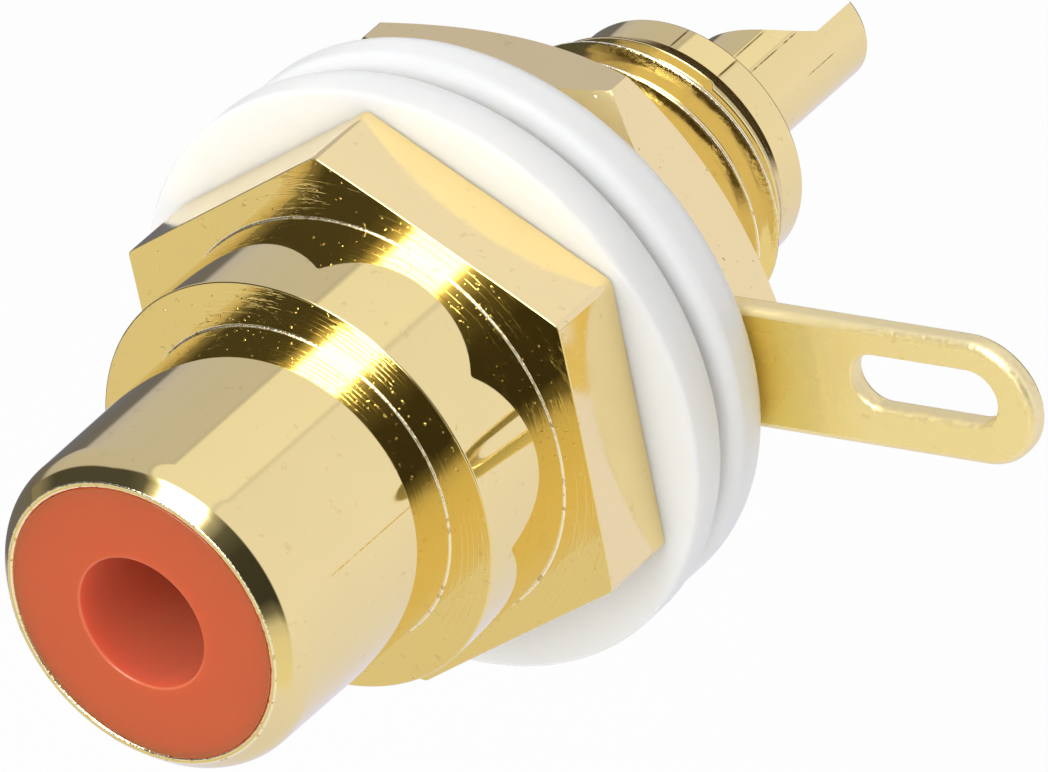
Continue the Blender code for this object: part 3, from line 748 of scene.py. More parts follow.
def facing_marks(nodes, place, radius, turn):
    """Short torn streaks along the turning, and small specks, on faces that are square to the axis."""
    facing = nodes.add("ShaderNodeTexCoord").outputs["Normal"]
    square = nodes.add("ShaderNodeSeparateXYZ", {0: facing}).outputs[1]
    face = nodes.map(nodes.math("ABSOLUTE", square), 0.80, 0.97, 0.0, 1.0)
    along = nodes.add("ShaderNodeSeparateXYZ", {0: place}).outputs[1]
    across = nodes.math("MULTIPLY", radius, STREAKS_ACROSS)
    round_turn = nodes.math("MULTIPLY", turn, STREAKS_ROUND)
    polar = nodes.add("ShaderNodeCombineXYZ", {0: across, 1: along, 2: round_turn}).outputs[0]
    tears = nodes.map(nodes.noise(polar, scale=1.0, detail=3.0, roughness=0.6), 0.50, 0.74, 0.0, 1.0)
    patches = nodes.map(nodes.noise(place, scale=0.8, detail=2.0), 0.40, 0.62, 0.05, 1.0, smooth=True)
    streaks = nodes.math("MULTIPLY", nodes.math("MULTIPLY", tears, patches), face)
    specks = nodes.map(nodes.noise(place, scale=7.0, detail=1.0), 0.70, 0.76, 0.0, 1.0)
    return streaks, nodes.math("MULTIPLY", specks, face)


def turned_gold(finish):
    """Polished plating over lathe work: clean cylinders, and faces with short torn streaks."""
    material, nodes, place = start_material("polished gold, turned")
    x, _, z = nodes.add("ShaderNodeSeparateXYZ", {0: place}).outputs
    radius = distance_from_axis(nodes, place)
    turn = nodes.math("ARCTAN2", z, x)
    streaks, specks = facing_marks(nodes, place, radius, turn)
    normal = nodes.bump(nodes.noise(place, scale=0.35, detail=1.0), distance=6.0e-6)
    normal = nodes.bump(streaks, distance=6.0e-6, normal=normal)
    normal = nodes.bump(specks, distance=6.0e-6, normal=normal)
    plate = freckled(nodes, place, finish.gold, finish.gold_worn)
    # Darkens the plating along thin lines at set angles on the neck and the solder cup
    plate = nodes.mix(hairlines(nodes, place, radius, turn, DARK_HAIRLINES), plate, rgba(finish.dark_hairline))
    plate = nodes.mix(hairlines(nodes, place, radius, turn, SCRATCHES), plate, rgba(finish.scratch))
    rough = nodes.noise(place, scale=1.3, detail=3.0)
    roughness = nodes.map(rough, 0.3, 0.7, 0.6 * finish.gold_roughness, 1.6 * finish.gold_roughness)
    end_plating(nodes, plate, roughness, normal)
    return material


def drawn_gold(finish):
    """Polished plating over the flats of drawn hexagon bar, with faint lines along the bar."""
    material, nodes, place = start_material("polished gold, flats")
    stretch = {0: place, 1: (7.0, 0.35, 7.0)}
    stretched = nodes.add("ShaderNodeVectorMath", stretch, operation="MULTIPLY").outputs[0]
    lines = nodes.noise(stretched, scale=1.0, detail=3.0, roughness=0.6)
    ripple = nodes.noise(place, scale=0.45, detail=1.0)
    pits = nodes.map(nodes.noise(place, scale=4.5, detail=2.0), 0.68, 0.80, 0.0, 1.0)
    normal = nodes.bump(ripple, distance=1.6e-5)
    normal = nodes.bump(lines, distance=5.0e-7, normal=normal)
    normal = nodes.bump(pits, distance=5.0e-6, normal=normal)
    plate = freckled(nodes, place, finish.flats_gold, finish.gold_worn)
    roughness = varied(nodes, nodes.noise(place, scale=1.1, detail=3.0), finish.flats_roughness, 0.3)
    end_plating(nodes, plate, roughness, normal)
    return material


# The torn part of a crest, down from its top in mm, and how far the painted light in the bore is blended, in
# mm
TORN_FROM, TORN_FULL = 0.22, 0.04
BLEND_START, BLEND_END = 0.01, 0.05


def thread_gold(finish, sizes):
    """Plating on the cut thread, torn along its crests."""
    material, nodes, place = start_material("polished gold, thread")
    top = sizes.thread_radius / MM
    radius = distance_from_axis(nodes, place)
    crest = nodes.map(radius, top - TORN_FROM, top - TORN_FULL, 0.04, 1.0, smooth=True)
    torn = nodes.noise(place, scale=5.0, detail=4.0, roughness=0.65)
    patches = nodes.map(nodes.noise(place, scale=0.6, detail=1.0), 0.40, 0.60, 0.15, 1.0, smooth=True)
    height = nodes.math("MULTIPLY", nodes.math("MULTIPLY", torn, patches), crest)
    plate = freckled(nodes, place, finish.gold, finish.gold_worn)
    end_plating(nodes, plate, nodes.map(torn, 0.3, 0.7, 0.09, 0.17), nodes.bump(height, distance=2.5e-5))
    return material


def edge_plating_and_painted_highlight(finish):
    """Plating over small burred edges, with specks, painted pale and bright as a highlight."""
    material, nodes, place = start_material("polished gold, edges and painted highlight")
    burrs = nodes.noise(place, scale=11.0, detail=3.0, roughness=0.6)
    chips = nodes.map(nodes.noise(place, scale=5.0, detail=2.0), 0.60, 0.66, 0.0, 0.8)
    # Painted highlight: the edges' base colour is much paler than the plating
    plate = nodes.mix(chips, rgba(finish.edge_gold_and_painted_highlight), rgba(finish.gold_worn))
    end_plating(nodes, plate, 0.22, nodes.bump(burrs, distance=2.0e-5))
    return material


def pressed_gold(finish):
    """Plating on the tag's pressed edges."""
    material, nodes, place = start_material("satin gold, pressed edges")
    grain = nodes.noise(place, scale=6.0, detail=3.0, roughness=0.6)
    plate = freckled(nodes, place, finish.tag_rim, finish.tag_freckles_and_reflection)
    roughness = nodes.map(grain, 0.3, 0.7, 0.34, 0.48)
    end_plating(nodes, plate, roughness, nodes.bump(grain, distance=2.0e-5), metallic=0.75)
    return material


def satin_gold(finish, sizes):
    """Satin tag plating, a painted reflection of the gold body by the ring, and a faint bend across the
    tongue.
    """
    material, nodes, place = start_material("satin gold, tag")
    x = nodes.add("ShaderNodeSeparateXYZ", {0: place}).outputs[0]
    # Painted reflection: the tongue turns a darker, deeper yellow towards the ring, where it mirrors the gold
    # body
    painted_reflection_near_ring = nodes.map(x, 7.6, 10.6, 1.0, 0.0, smooth=True)
    plate = freckled(nodes, place, finish.tag_gold, finish.gold_worn)
    plate = nodes.mix(painted_reflection_near_ring, plate, rgba(finish.tag_freckles_and_reflection))
    gap = nodes.math("ABSOLUTE", nodes.math("SUBTRACT", x, sizes.crease / MM))
    crease = nodes.map(gap, 0.0, 0.30, 1.0, 0.0, smooth=True)
    normal = nodes.bump(nodes.noise(place, scale=14.0, detail=3.0, roughness=0.6), distance=1.0e-6)
    normal = nodes.bump(crease, distance=8.0e-6, normal=normal)
    roughness = varied(nodes, nodes.noise(place, scale=0.8, detail=2.0), finish.tag_roughness, 0.15)
    end_plating(nodes, plate, roughness, normal, metallic=0.85)
    return material


def moulded(name, tint, roughness, grain, subsurface=0.0, glow=(1.0, 0.9, 0.8), depth=0.0007, bore=None):
    """Moulded plastic: a fine matt grain and a slow change of shade.

    glow and depth say how far red, green and blue light spread in it. bore is the (radius, tint) of a hole
    whose wall is painted paler, as painted light inside it.
    """
    material, nodes, place = start_material(name)
    fine = nodes.noise(place, scale=grain, detail=3.0, roughness=0.6)
    slow = nodes.noise(place, scale=0.6, detail=2.0)
    normal = nodes.bump(slow, distance=1.2e-5)
    normal = nodes.bump(fine, distance=2.5e-6, normal=normal)
    plastic = clouded(nodes, slow, tint, 0.955)
    if bore:
        edge = bore[0] / MM
        radius = distance_from_axis(nodes, place)
        # Painted light: the hole's wall turns paler than the face
        painted_light_in_bore = nodes.map(radius, edge + BLEND_START, edge + BLEND_END, 1.0, 0.0)
        plastic = nodes.mix(painted_light_in_bore, plastic, rgba(bore[1]))
    inputs = {"Base Color": plastic, "Roughness": varied(nodes, fine, roughness, 0.1), "Normal": normal}
    surface = end_material(nodes, {**inputs, "Subsurface Weight": subsurface, "Subsurface Scale": depth})
    surface.inputs["Subsurface Radius"].default_value = glow
    return material


def gold_materials():
    """The platings in the order of their slots: turned, flats, thread, edges."""
    finish = settings().finish
    thread = thread_gold(finish, settings().shell)
    return [turned_gold(finish), drawn_gold(finish), thread, edge_plating_and_painted_highlight(finish)]


# Places along the axis, read from the frame


def shell_places():
    """Named places of the shell along Y."""
    sizes = settings().shell
    front, neck_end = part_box("shell")[0].y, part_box("shell")[1].y
    collar = front + sizes.barrel_length
    hexagon = collar + sizes.collar_length
    hexagon_rear = hexagon + sizes.hexagon_length
    return {
        "front": front,
        "collar": collar,
        "hexagon": hexagon,
        "hexagon_rear": hexagon_rear,
        "thread_foot": hexagon_rear + sizes.thread_length + sizes.taper_length,
        "neck_end": neck_end,
    }


# Pieces

# Where the skin of the nose meets the skin of the bore, behind the mouth
BORE_SEAM = 0.6 * MM

# Seeds for the unevenness of the two turned faces
COLLAR_SEED, HEXAGON_SEED = 3, 5


def nose_section(sizes, places):
    """The shell's section from the bore over the lip and the bevel to the root of the barrel."""
    lip_outer = sizes.mouth + sizes.lip
    blend_drop = sizes.nose_blend * (1.0 - math.cos(sizes.nose_angle))
    bevel_rise = sizes.barrel_tip - blend_drop - lip_outer
    bevel_end = places["front"] + bevel_rise / math.tan(sizes.nose_angle)
    blend_y = bevel_end + sizes.nose_blend * math.sin(sizes.nose_angle)
    blend_reach = sizes.nose_blend * math.tan(sizes.nose_angle / 2.0)
    return section(
        [
            (sizes.mouth, places["front"] + BORE_SEAM, 0.0),
            (sizes.mouth, places["front"], LIP_ROUND),
            (lip_outer, places["front"], LIP_ROUND),
            (sizes.barrel_tip, blend_y - blend_reach, sizes.nose_blend),
            (sizes.barrel_root, places["collar"] - sizes.root_fillet, 0.0),
            (sizes.barrel_root, places["collar"], 0.0),
        ],
        steps=8,
    )[:-1]


def add_collar(skin, sizes, places, angles):
    """The collar: the fillet at the barrel's root, the grooved front face, the edge and the cylinder."""
    collar_edge = sizes.collar_radius - sizes.edge_break
    face_start = sizes.barrel_root + sizes.root_fillet
    add_fillet(skin, sizes.barrel_root, places["collar"], sizes.root_fillet, angles)
    grooves = grooves_from(sizes.barrel_root, COLLAR_GROOVES, COLLAR_GROOVE_HALF)
    profile = ring_profile(face_start, collar_edge, sizes, grooves, COLLAR_SEED)
    add_face(skin, profile, places["collar"], angles, collar_edge)
    rows = section(
        [
            (collar_edge, places["collar"], 0.0),
            (sizes.collar_radius, places["collar"], sizes.edge_break),
            (sizes.collar_radius, places["hexagon"] - sizes.root_fillet, 0.0),
            (sizes.collar_radius, places["hexagon"], 0.0),
        ]
    )
    add_turned(skin, rows[:-1], angles, closed=False)


def add_hexagon(skin, sizes, places, angles, thread_start):
    """The hexagon: the fillet at the collar's root, the dished front face, the flats and the rear face."""
    outline, outward = hexagon_outline(angles, QUARTER, sizes.across_flats / 2.0, sizes.corner_round)
    rim = outline - sizes.hexagon_edge
    face_start = sizes.collar_radius + sizes.root_fillet
    corner_reach = sizes.across_flats / math.sqrt(3.0)
    add_fillet(skin, sizes.collar_radius, places["hexagon"], sizes.root_fillet, angles)
    grooves = grooves_from(sizes.collar_radius, HEXAGON_GROOVES, HEXAGON_GROOVE_HALF)
    dish_start = sizes.collar_radius + sizes.dish_margin
    profile = ring_profile(face_start, corner_reach, sizes, grooves, HEXAGON_SEED, dish_start)
    add_face(skin, profile, places["hexagon"], angles, rim)
    rim_y = places["hexagon"] + face_height(rim, profile, groove_strength(angles))
    edge_start = around(rim, rim_y, angles)
    edge_end = around(outline, rim_y + sizes.hexagon_edge, angles)
    flat_end = around(outline, places["hexagon_rear"], angles)
    forward = np.tile(-AXIS, (len(angles), 1))
    add_strip(skin, edge_start, edge_end, forward, outward)
    add_strip(skin, edge_end, flat_end, outward, outward, FLAT)
    add_strip(skin, flat_end, thread_start, -forward, -forward)


def shell_thread(sizes, places, angles):
    """Rows of the thread behind the hexagon, run out by a taper that ends on the neck."""
    foot = places["thread_foot"]

    def shape(along, around_angles):
        taper = sizes.neck_radius + (foot - along) * math.tan(sizes.taper_angle)
        return np.maximum(np.minimum(thread_radius(along, around_angles, sizes), taper), sizes.neck_radius)

    return thread_rows(sizes, places["hexagon_rear"], foot, angles, shape)


def neck_section(sizes, places):
    """The shell's section over the neck and the rolled lip, and back through the bore."""
    lip_face = places["neck_end"] - sizes.lip_thickness
    shoulder = places["front"] + sizes.insulator_seat
    return section(
        [
            (sizes.neck_radius, places["thread_foot"], 0.0),
            (sizes.neck_radius, places["neck_end"], sizes.edge_break),
            (sizes.lip_bore, places["neck_end"], CRISP_ROUND),
            (sizes.lip_bore, lip_face, 0.0),
            (sizes.neck_bore, lip_face, 0.0),
            (sizes.neck_bore, shoulder, 0.0),
            (sizes.mouth, shoulder, 0.0),
            (sizes.mouth, places["front"] + BORE_SEAM, 0.0),
        ]
    )


def build_shell():
    """The turned shell, from one hexagon bar: barrel, collar, hexagon, threaded shank and neck."""
    sizes = settings().shell
    places = shell_places()
    angles = hexagon_angles(QUARTER, sizes.across_flats / 2.0, sizes.corner_round)
    thread = shell_thread(sizes, places, angles)
    skin = new_skin()
    add_turned(skin, nose_section(sizes, places), angles, closed=False, edges=True)
    add_collar(skin, sizes, places, angles)
    add_hexagon(skin, sizes, places, angles, thread[0][0])
    for start, end in zip(thread, thread[1:]):
        add_strip(skin, start[0], end[0], start[1], end[1], start[2])
    add_turned(skin, neck_section(sizes, places), angles, closed=False)
    piece = mesh_object("shell_gold", skin, gold_materials())
    return finish_piece(piece, "socket", "shell")


def build_front_insulator():
    """The red insulator, with the hole for the plug's pin."""
    sizes = settings().insulators
    front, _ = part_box("front_insulator")
    shoulder = front.y + sizes.head_length
    hole_end = front.y + sizes.hole_length
    rear = front.y + sizes.front_length
    rows = section(
        [
            (sizes.hole_radius, front.y, sizes.hole_round),
            (sizes.head_radius, front.y, CRISP_ROUND),
            (sizes.head_radius, shoulder, 0.0),
            (sizes.spigot_radius, shoulder, 0.0),
            (sizes.spigot_radius, rear, 0.0),
            (sizes.chamber_radius, rear, 0.0),
            (sizes.chamber_radius, hole_end, 0.0),
            (sizes.hole_radius, hole_end, FINE_ROUND),
        ],
        steps=6,
    )
    skin = new_skin()
    add_turned(skin, rows, full_turn(160))
    finish = settings().finish
    # The hole's paler tint is painted light inside it
    hole = (sizes.hole_radius, finish.red_hole_painted_light)
    glow = (2.0, 0.7, 0.45)
    red = moulded("red insulator, moulded", finish.red, 0.22, 9.0, subsurface=1.0, glow=glow, bore=hole)
    piece = mesh_object("front_insulator_red", skin, [red])
    return finish_piece(piece, "socket", "front_insulator")


def build_rear_insulator():
    """The white bush that holds the contact under the rolled lip."""
    sizes = settings().insulators
    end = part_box("rear_insulator")[1].y
    rows = section(
        [
            (sizes.bush_hole, sizes.bush_start, 0.0),
            (sizes.spigot_radius, sizes.bush_start, 0.0),
            (sizes.spigot_radius, sizes.bush_shoulder, 0.0),
            (sizes.bush_spigot, sizes.bush_shoulder, 0.0),
            (sizes.bush_spigot, end, FINE_ROUND),
            (sizes.bush_hole, end, INNER_ROUND),
        ]
    )
    skin = new_skin()
    add_turned(skin, rows, full_turn(120))
    white = moulded("white bush, moulded", settings().finish.bush, 0.45, 8.0)
    piece = mesh_object("rear_insulator_white", skin, [white])
    return finish_piece(piece, "socket", "rear_insulator")


def prism(points, depth_vector):
    """A closed bmesh block: a polygon pushed along a vector."""
    bm = bmesh.new()
    face = bm.faces.new([bm.verts.new(point) for point in points])
    grown = bmesh.ops.extrude_face_region(bm, geom=[face])
    moved = [item for item in grown["geom"] if isinstance(item, bmesh.types.BMVert)]
    bmesh.ops.translate(bm, verts=moved, vec=depth_vector)
    bmesh.ops.recalc_face_normals(bm, faces=bm.faces)
    return bm


def cut(obj, cutters):
    """Applies Boolean cuts to an object, and removes the cutters."""
    helpers = []
    for bm in cutters:
        mesh = bpy.data.meshes.new("cutter")
        bm.to_mesh(mesh)
        bm.free()
        helper = bpy.data.objects.new("cutter", mesh)
        bpy.context.scene.collection.objects.link(helper)
        modifier = obj.modifiers.new("cut", "BOOLEAN")
        modifier.operation = "DIFFERENCE"
        modifier.solver = "EXACT"
        modifier.object = helper
        helpers.append(helper)
    evaluated = obj.evaluated_get(bpy.context.evaluated_depsgraph_get())
    made = bpy.data.meshes.new_from_object(evaluated)
    obj.modifiers.clear()
    old = obj.data
    obj.data = made
    made.name = obj.name
    bpy.data.meshes.remove(old)
    for helper in helpers:
        bpy.data.objects.remove(helper, do_unlink=True)


# How far the cutters stand clear of the contact, and how far the slits' cutters reach to each side
CLEAR = 1.0 * MM
SLIT_REACH = 3.0 * MM

# How square a face must be to count as flat, round or hollow when its normals are set
NEARLY_ALONG, NEARLY_ROUND = 0.05, 0.99
NEARLY_ACROSS, NEARLY_HOLLOW = 0.01, 0.998


def scoop_section(sizes, cup_end):
    """The cut's side view as (height, y) points, and the centre of its hollow."""
    floor_start = cup_end - sizes.scoop_length
    top = sizes.cup_radius + CLEAR
    centre_y = floor_start + sizes.scoop_radius * math.sin(sizes.scoop_angle)
    centre_height = sizes.scoop_floor + sizes.scoop_radius * math.cos(sizes.scoop_angle)
    end = math.acos((centre_height - top) / sizes.scoop_radius)
    points = [(top, cup_end + CLEAR), (sizes.scoop_floor, cup_end + CLEAR)]
    for turn in np.linspace(sizes.scoop_angle, end, 40):
        height = centre_height - sizes.scoop_radius * math.cos(turn)
        points.append((height, centre_y - sizes.scoop_radius * math.sin(turn)))
    return points, (centre_height, centre_y)


def scoop_cutter(sizes, side):
    """The block that cuts the cup open, from its side view."""
    width = sizes.cup_radius + CLEAR
    block = prism([(height, along, -width) for height, along in side], (0.0, 0.0, 2.0 * width))
    turn = Matrix.Rotation(-sizes.scoop_direction, 3, "Y")
    bmesh.ops.rotate(block, verts=block.verts, cent=(0.0, 0.0, 0.0), matrix=turn)
    return block


def slit_cutters(sizes, mouth):
    """Two crossed blocks that slit the sleeve from its mouth."""
    low, high = mouth - CLEAR, mouth + sizes.slit_length
    half = sizes.slit_width / 2.0
    cutters = []
    for x, z in ((SLIT_REACH, half), (half, SLIT_REACH)):
        corners = [(-x, low, -z), (x, low, -z), (x, low, z), (-x, low, z)]
        cutters.append(prism(corners, (0.0, high - low, 0.0)))
    return cutters


def contact_normals(obj, sizes, hollow_centre):
    """Gives the cylinders and the hollow of the contact their exact normals."""
    mesh = obj.data
    along_cut = Vector((math.cos(sizes.scoop_direction), 0.0, math.sin(sizes.scoop_direction)))
    across_cut = Vector((-along_cut.z, 0.0, along_cut.x))
    normals = []
    for polygon in mesh.polygons:
        face = polygon.normal
        for index in polygon.vertices:
            point = mesh.vertices[index].co
            radial = Vector((point.x, 0.0, point.z)).normalized()
            lift = Vector((hollow_centre[0] - point.dot(along_cut), hollow_centre[1] - point.y)).normalized()
            hollow = along_cut * lift.x + Vector((0.0, lift.y, 0.0))
            if abs(face.y) < NEARLY_ALONG and abs(face.dot(radial)) > NEARLY_ROUND:
                normals.append(radial * math.copysign(1.0, face.dot(radial)))
            elif abs(face.dot(across_cut)) < NEARLY_ACROSS and face.dot(hollow) > NEARLY_HOLLOW:
                normals.append(hollow)
            else:
                normals.append(face.copy())
    mesh.shade_smooth()
    mesh.normals_split_custom_set(normals)


def contact_section(sizes, mouth, cup_end):
    """The contact's section over sleeve, flange, shank and cup, and back through the bores."""
    slit_end = mouth + sizes.slit_length
    bore_end = mouth + sizes.sleeve_depth
    sleeve = sizes.sleeve_bore + sizes.sleeve_wall
    flange_end = sizes.flange_start + sizes.flange_thickness
    cup_floor = cup_end - sizes.cup_depth
    return section(
        [
            (sizes.mouth_bore + sizes.mouth_chamfer, mouth, 0.0),
            (sizes.mouth_bore + sizes.sleeve_wall, mouth, FINE_ROUND),
            (sleeve, slit_end, 0.0),
            (sleeve, sizes.flange_start, 0.0),
            (sizes.flange_radius, sizes.flange_start, 0.0),
            (sizes.flange_radius, flange_end, 0.0),
            (sizes.cup_radius, flange_end, 0.0),
            (sizes.cup_radius, cup_end, FINE_ROUND),
            (sizes.cup_bore, cup_end, INNER_ROUND),
            (sizes.cup_bore, cup_floor, 0.0),
            (0.0, cup_floor - sizes.drill_point, 0.0),
            (0.0, bore_end + sizes.drill_point, 0.0),
            (sizes.sleeve_bore, bore_end, 0.0),
            (sizes.sleeve_bore, slit_end, 0.0),
            (sizes.mouth_bore, mouth + sizes.mouth_chamfer, 0.0),
        ]
    )


def build_centre_contact():
    """The centre contact, turned, then slit at its mouth and half cut away at its cup."""
    sizes = settings().contact
    cup_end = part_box("centre_contact")[1].y
    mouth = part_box("shell")[0].y + sizes.mouth_setback
    skin = new_skin()
    add_turned(skin, contact_section(sizes, mouth, cup_end), full_turn(144))
    piece = mesh_object("centre_contact_gold", skin, gold_materials()[:1])
    side, hollow_centre = scoop_section(sizes, cup_end)
    cut(piece, [*slit_cutters(sizes, mouth), scoop_cutter(sizes, side)])
    contact_normals(piece, sizes, hollow_centre)
    return finish_piece(piece, "socket", "centre_contact")


def build_washers():
    """The two insulating washers, which hang a little off the axis."""
    sizes = settings().washers
    nylon = moulded("white nylon, moulded", settings().finish.nylon, 0.42, 6.0, subsurface=0.8, depth=0.0016)
    front = -sizes.front_thickness
    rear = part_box("rear_washer")[1].y
    rear_front = rear - sizes.rear_thickness
    sections = {
        "front_washer": [
            (sizes.front_bore, front, SMALL_ROUND),
            (sizes.front_radius, front, sizes.front_edge),
            (sizes.front_radius, 0.0, sizes.front_back_edge),
            (sizes.front_bore, 0.0, SMALL_ROUND),
        ],
        "rear_washer": [
            (sizes.rear_bore, rear_front - sizes.collar_height, 0.0),
            (sizes.collar_radius, rear_front - sizes.collar_height, SMALL_ROUND),
            (sizes.collar_radius, rear_front, 0.0),
            (sizes.rear_radius, rear_front, sizes.rear_edge),
            (sizes.rear_radius, rear, sizes.rear_back_edge),
            (sizes.rear_bore, rear, SMALL_ROUND),
        ],
    }
    offsets = {"front_washer": (sizes.front_x, sizes.front_z), "rear_washer": (sizes.rear_x, sizes.rear_z)}
    bodies = {"front_washer": "socket", "rear_washer": "clamp"}
    made = []
    for node, corners in sections.items():
        skin = new_skin()
        add_turned(skin, section(corners, steps=10), full_turn(240))
        shift = np.array([offsets[node][0], 0.0, offsets[node][1]])
        skin["points"] = [points + shift for points in skin["points"]]
        piece = mesh_object(f"{node}_nylon", skin, [nylon])
        made.append(finish_piece(piece, bodies[node], node))
    return made


def arc(centre, radius, start, end, steps, inward=False):
    """(x, z, normal x, normal z) rows along an arc."""
    side = -1.0 if inward else 1.0
    rows = []
    for turn in np.linspace(start, end, steps + 1):
        c, s = math.cos(turn), math.sin(turn)
        rows.append((centre[0] + radius * c, centre[1] + radius * s, side * c, side * s))
    return rows


def tag_loops(sizes):
    """The tag's outline, hole and slot as loops of (x, z, normal x, normal z). Normals leave the metal."""
    half = sizes.width / 2.0
    fillet_z = half + sizes.fillet
    fillet_x = math.sqrt((sizes.ring_radius + sizes.fillet) ** 2 - fillet_z**2)
    meet = math.atan2(fillet_z, fillet_x)
    outline = arc((sizes.reach - half, 0.0), half, -QUARTER, QUARTER, 40)
    outline += arc((fillet_x, fillet_z), sizes.fillet, -QUARTER, meet - math.pi, 10, inward=True)
    outline += arc((0.0, 0.0), sizes.ring_radius, meet, math.tau - meet, 120)
    outline += arc((fillet_x, -fillet_z), sizes.fillet, math.pi - meet, QUARTER, 10, inward=True)
    hole = arc((0.0, 0.0), sizes.hole_radius, 0.0, math.tau, 120, inward=True)[:-1]
    slot_radius = sizes.slot_width / 2.0
    outer = (sizes.reach - sizes.slot_margin - slot_radius, sizes.slot_rise)
    inner = (outer[0] - sizes.slot_length + sizes.slot_width, sizes.slot_rise)
    slot = arc(outer, slot_radius, -QUARTER, QUARTER, 28, inward=True)
    slot += arc(inner, slot_radius, QUARTER, 3.0 * QUARTER, 28, inward=True)
    for x in np.linspace(inner[0], outer[0], 26)[1:-1]:
        slot.append((x, inner[1] - slot_radius, 0.0, 1.0))
    return [np.array(loop) for loop in (outline, hole, slot)]


# The slot's torn edge: where it begins below the slot's middle, its least share of the burr, and the round
# that the rest of the slot has
TEAR_START = 0.55
TEAR_LEAST = 0.15
TEAR_SEED = 11
SLOT_ROUND = 0.06 * MM


def torn_round(slot, sizes):
    """The slot's edge round, point by point: small all round, and torn along the lower side."""
    depth = (sizes.slot_rise - slot[:, 1]) / sizes.slot_width * 2.0
    lower = np.clip(depth - TEAR_START, 0.0, 1.0) / (1.0 - TEAR_START)
    tears = np.random.default_rng(TEAR_SEED).uniform(TEAR_LEAST, 1.0, len(slot))
    return SLOT_ROUND + sizes.slot_burr * lower * tears


def add_tag_edge(skin, loop, front_round, rear_round, low, high):
    """The rounded edge along a closed loop, from the front face to the rear face."""
    flat, heading = loop[:, :2], loop[:, 2:]
    turns = np.linspace(0.0, QUARTER, 7)
    levels = [(turn, front_round, low + front_round) for turn in turns]
    levels += [(turn, rear_round, high - rear_round) for turn in QUARTER + turns]
    rows = []
    for turn, size, along in levels:
        out, up = math.sin(turn), -math.cos(turn)
        place = flat + heading * ((out - 1.0) * size)[:, None]
        points = np.stack([place[:, 0], along + up * size, place[:, 1]], axis=1)
        normals = np.stack([heading[:, 0] * out, np.full(len(place), up), heading[:, 1] * out], axis=1)
        rows.append((points, normals))
    for start, end in zip(rows, rows[1:]):
        add_strip(skin, start[0], end[0], start[1], end[1], TAG_RIM)


def add_tag_face(skin, loops, rounds, along, facing):
    """A flat face of the tag, inside the rounds of its edges."""
    inset = [loop[:, :2] - loop[:, 2:] * size[:, None] for loop, size in zip(loops, rounds)]
    flat = np.concatenate(inset)
    triangles = tessellate_polygon([[Vector((x, z, 0.0)) for x, z in loop] for loop in inset])
    for triangle in triangles:
        corners = [np.array([flat[k][0], along, flat[k][1]]) for k in triangle]
        if np.cross(corners[1] - corners[0], corners[2] - corners[0])[1] * facing < 0.0:
            corners.reverse()
        skin["points"].append(np.array([[*corners, corners[2]]]))
        skin["normals"].append(np.tile(AXIS * facing, (1, 4, 1)))
        skin["slots"].append(np.full(1, TAG_FACE))


def place_tag(skin, sizes):
    """Turns the tag about the axis and hangs it off the axis."""
    c, s = math.cos(sizes.turn), math.sin(sizes.turn)
    turn = np.array([[c, 0.0, s], [0.0, 1.0, 0.0], [-s, 0.0, c]])
    shift = np.array([0.0, 0.0, sizes.offset_z])
    skin["points"] = [points @ turn + shift for points in skin["points"]]
    skin["normals"] = [normals @ turn for normals in skin["normals"]]


def build_solder_tag():
    """The pressed tag: rounded edges round its outline, hole and slot, and two flat faces."""
    sizes = settings().tag
    low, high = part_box("solder_tag")[0].y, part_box("solder_tag")[1].y
    loops = tag_loops(sizes)
    rear_rounds = [np.full(len(loop), sizes.edge_round) for loop in loops]
    front_rounds = [np.full(len(loops[0]), sizes.front_roll), rear_rounds[1], torn_round(loops[2], sizes)]
    skin = new_skin()
    for index, rows in enumerate(zip(loops, front_rounds, rear_rounds)):
        closed = [np.concatenate([row, row[:1]]) for row in rows]
        if index > 0:
            closed = [row[::-1] for row in closed]
        add_tag_edge(skin, *closed, low, high)
    add_tag_face(skin, loops, front_rounds, low, -1.0)
    add_tag_face(skin, loops, rear_rounds, high, 1.0)
    place_tag(skin, sizes)
    finish = settings().finish
    piece = mesh_object("solder_tag_gold", skin, [satin_gold(finish, sizes), pressed_gold(finish)])
    return finish_piece(piece, "clamp", "solder_tag")


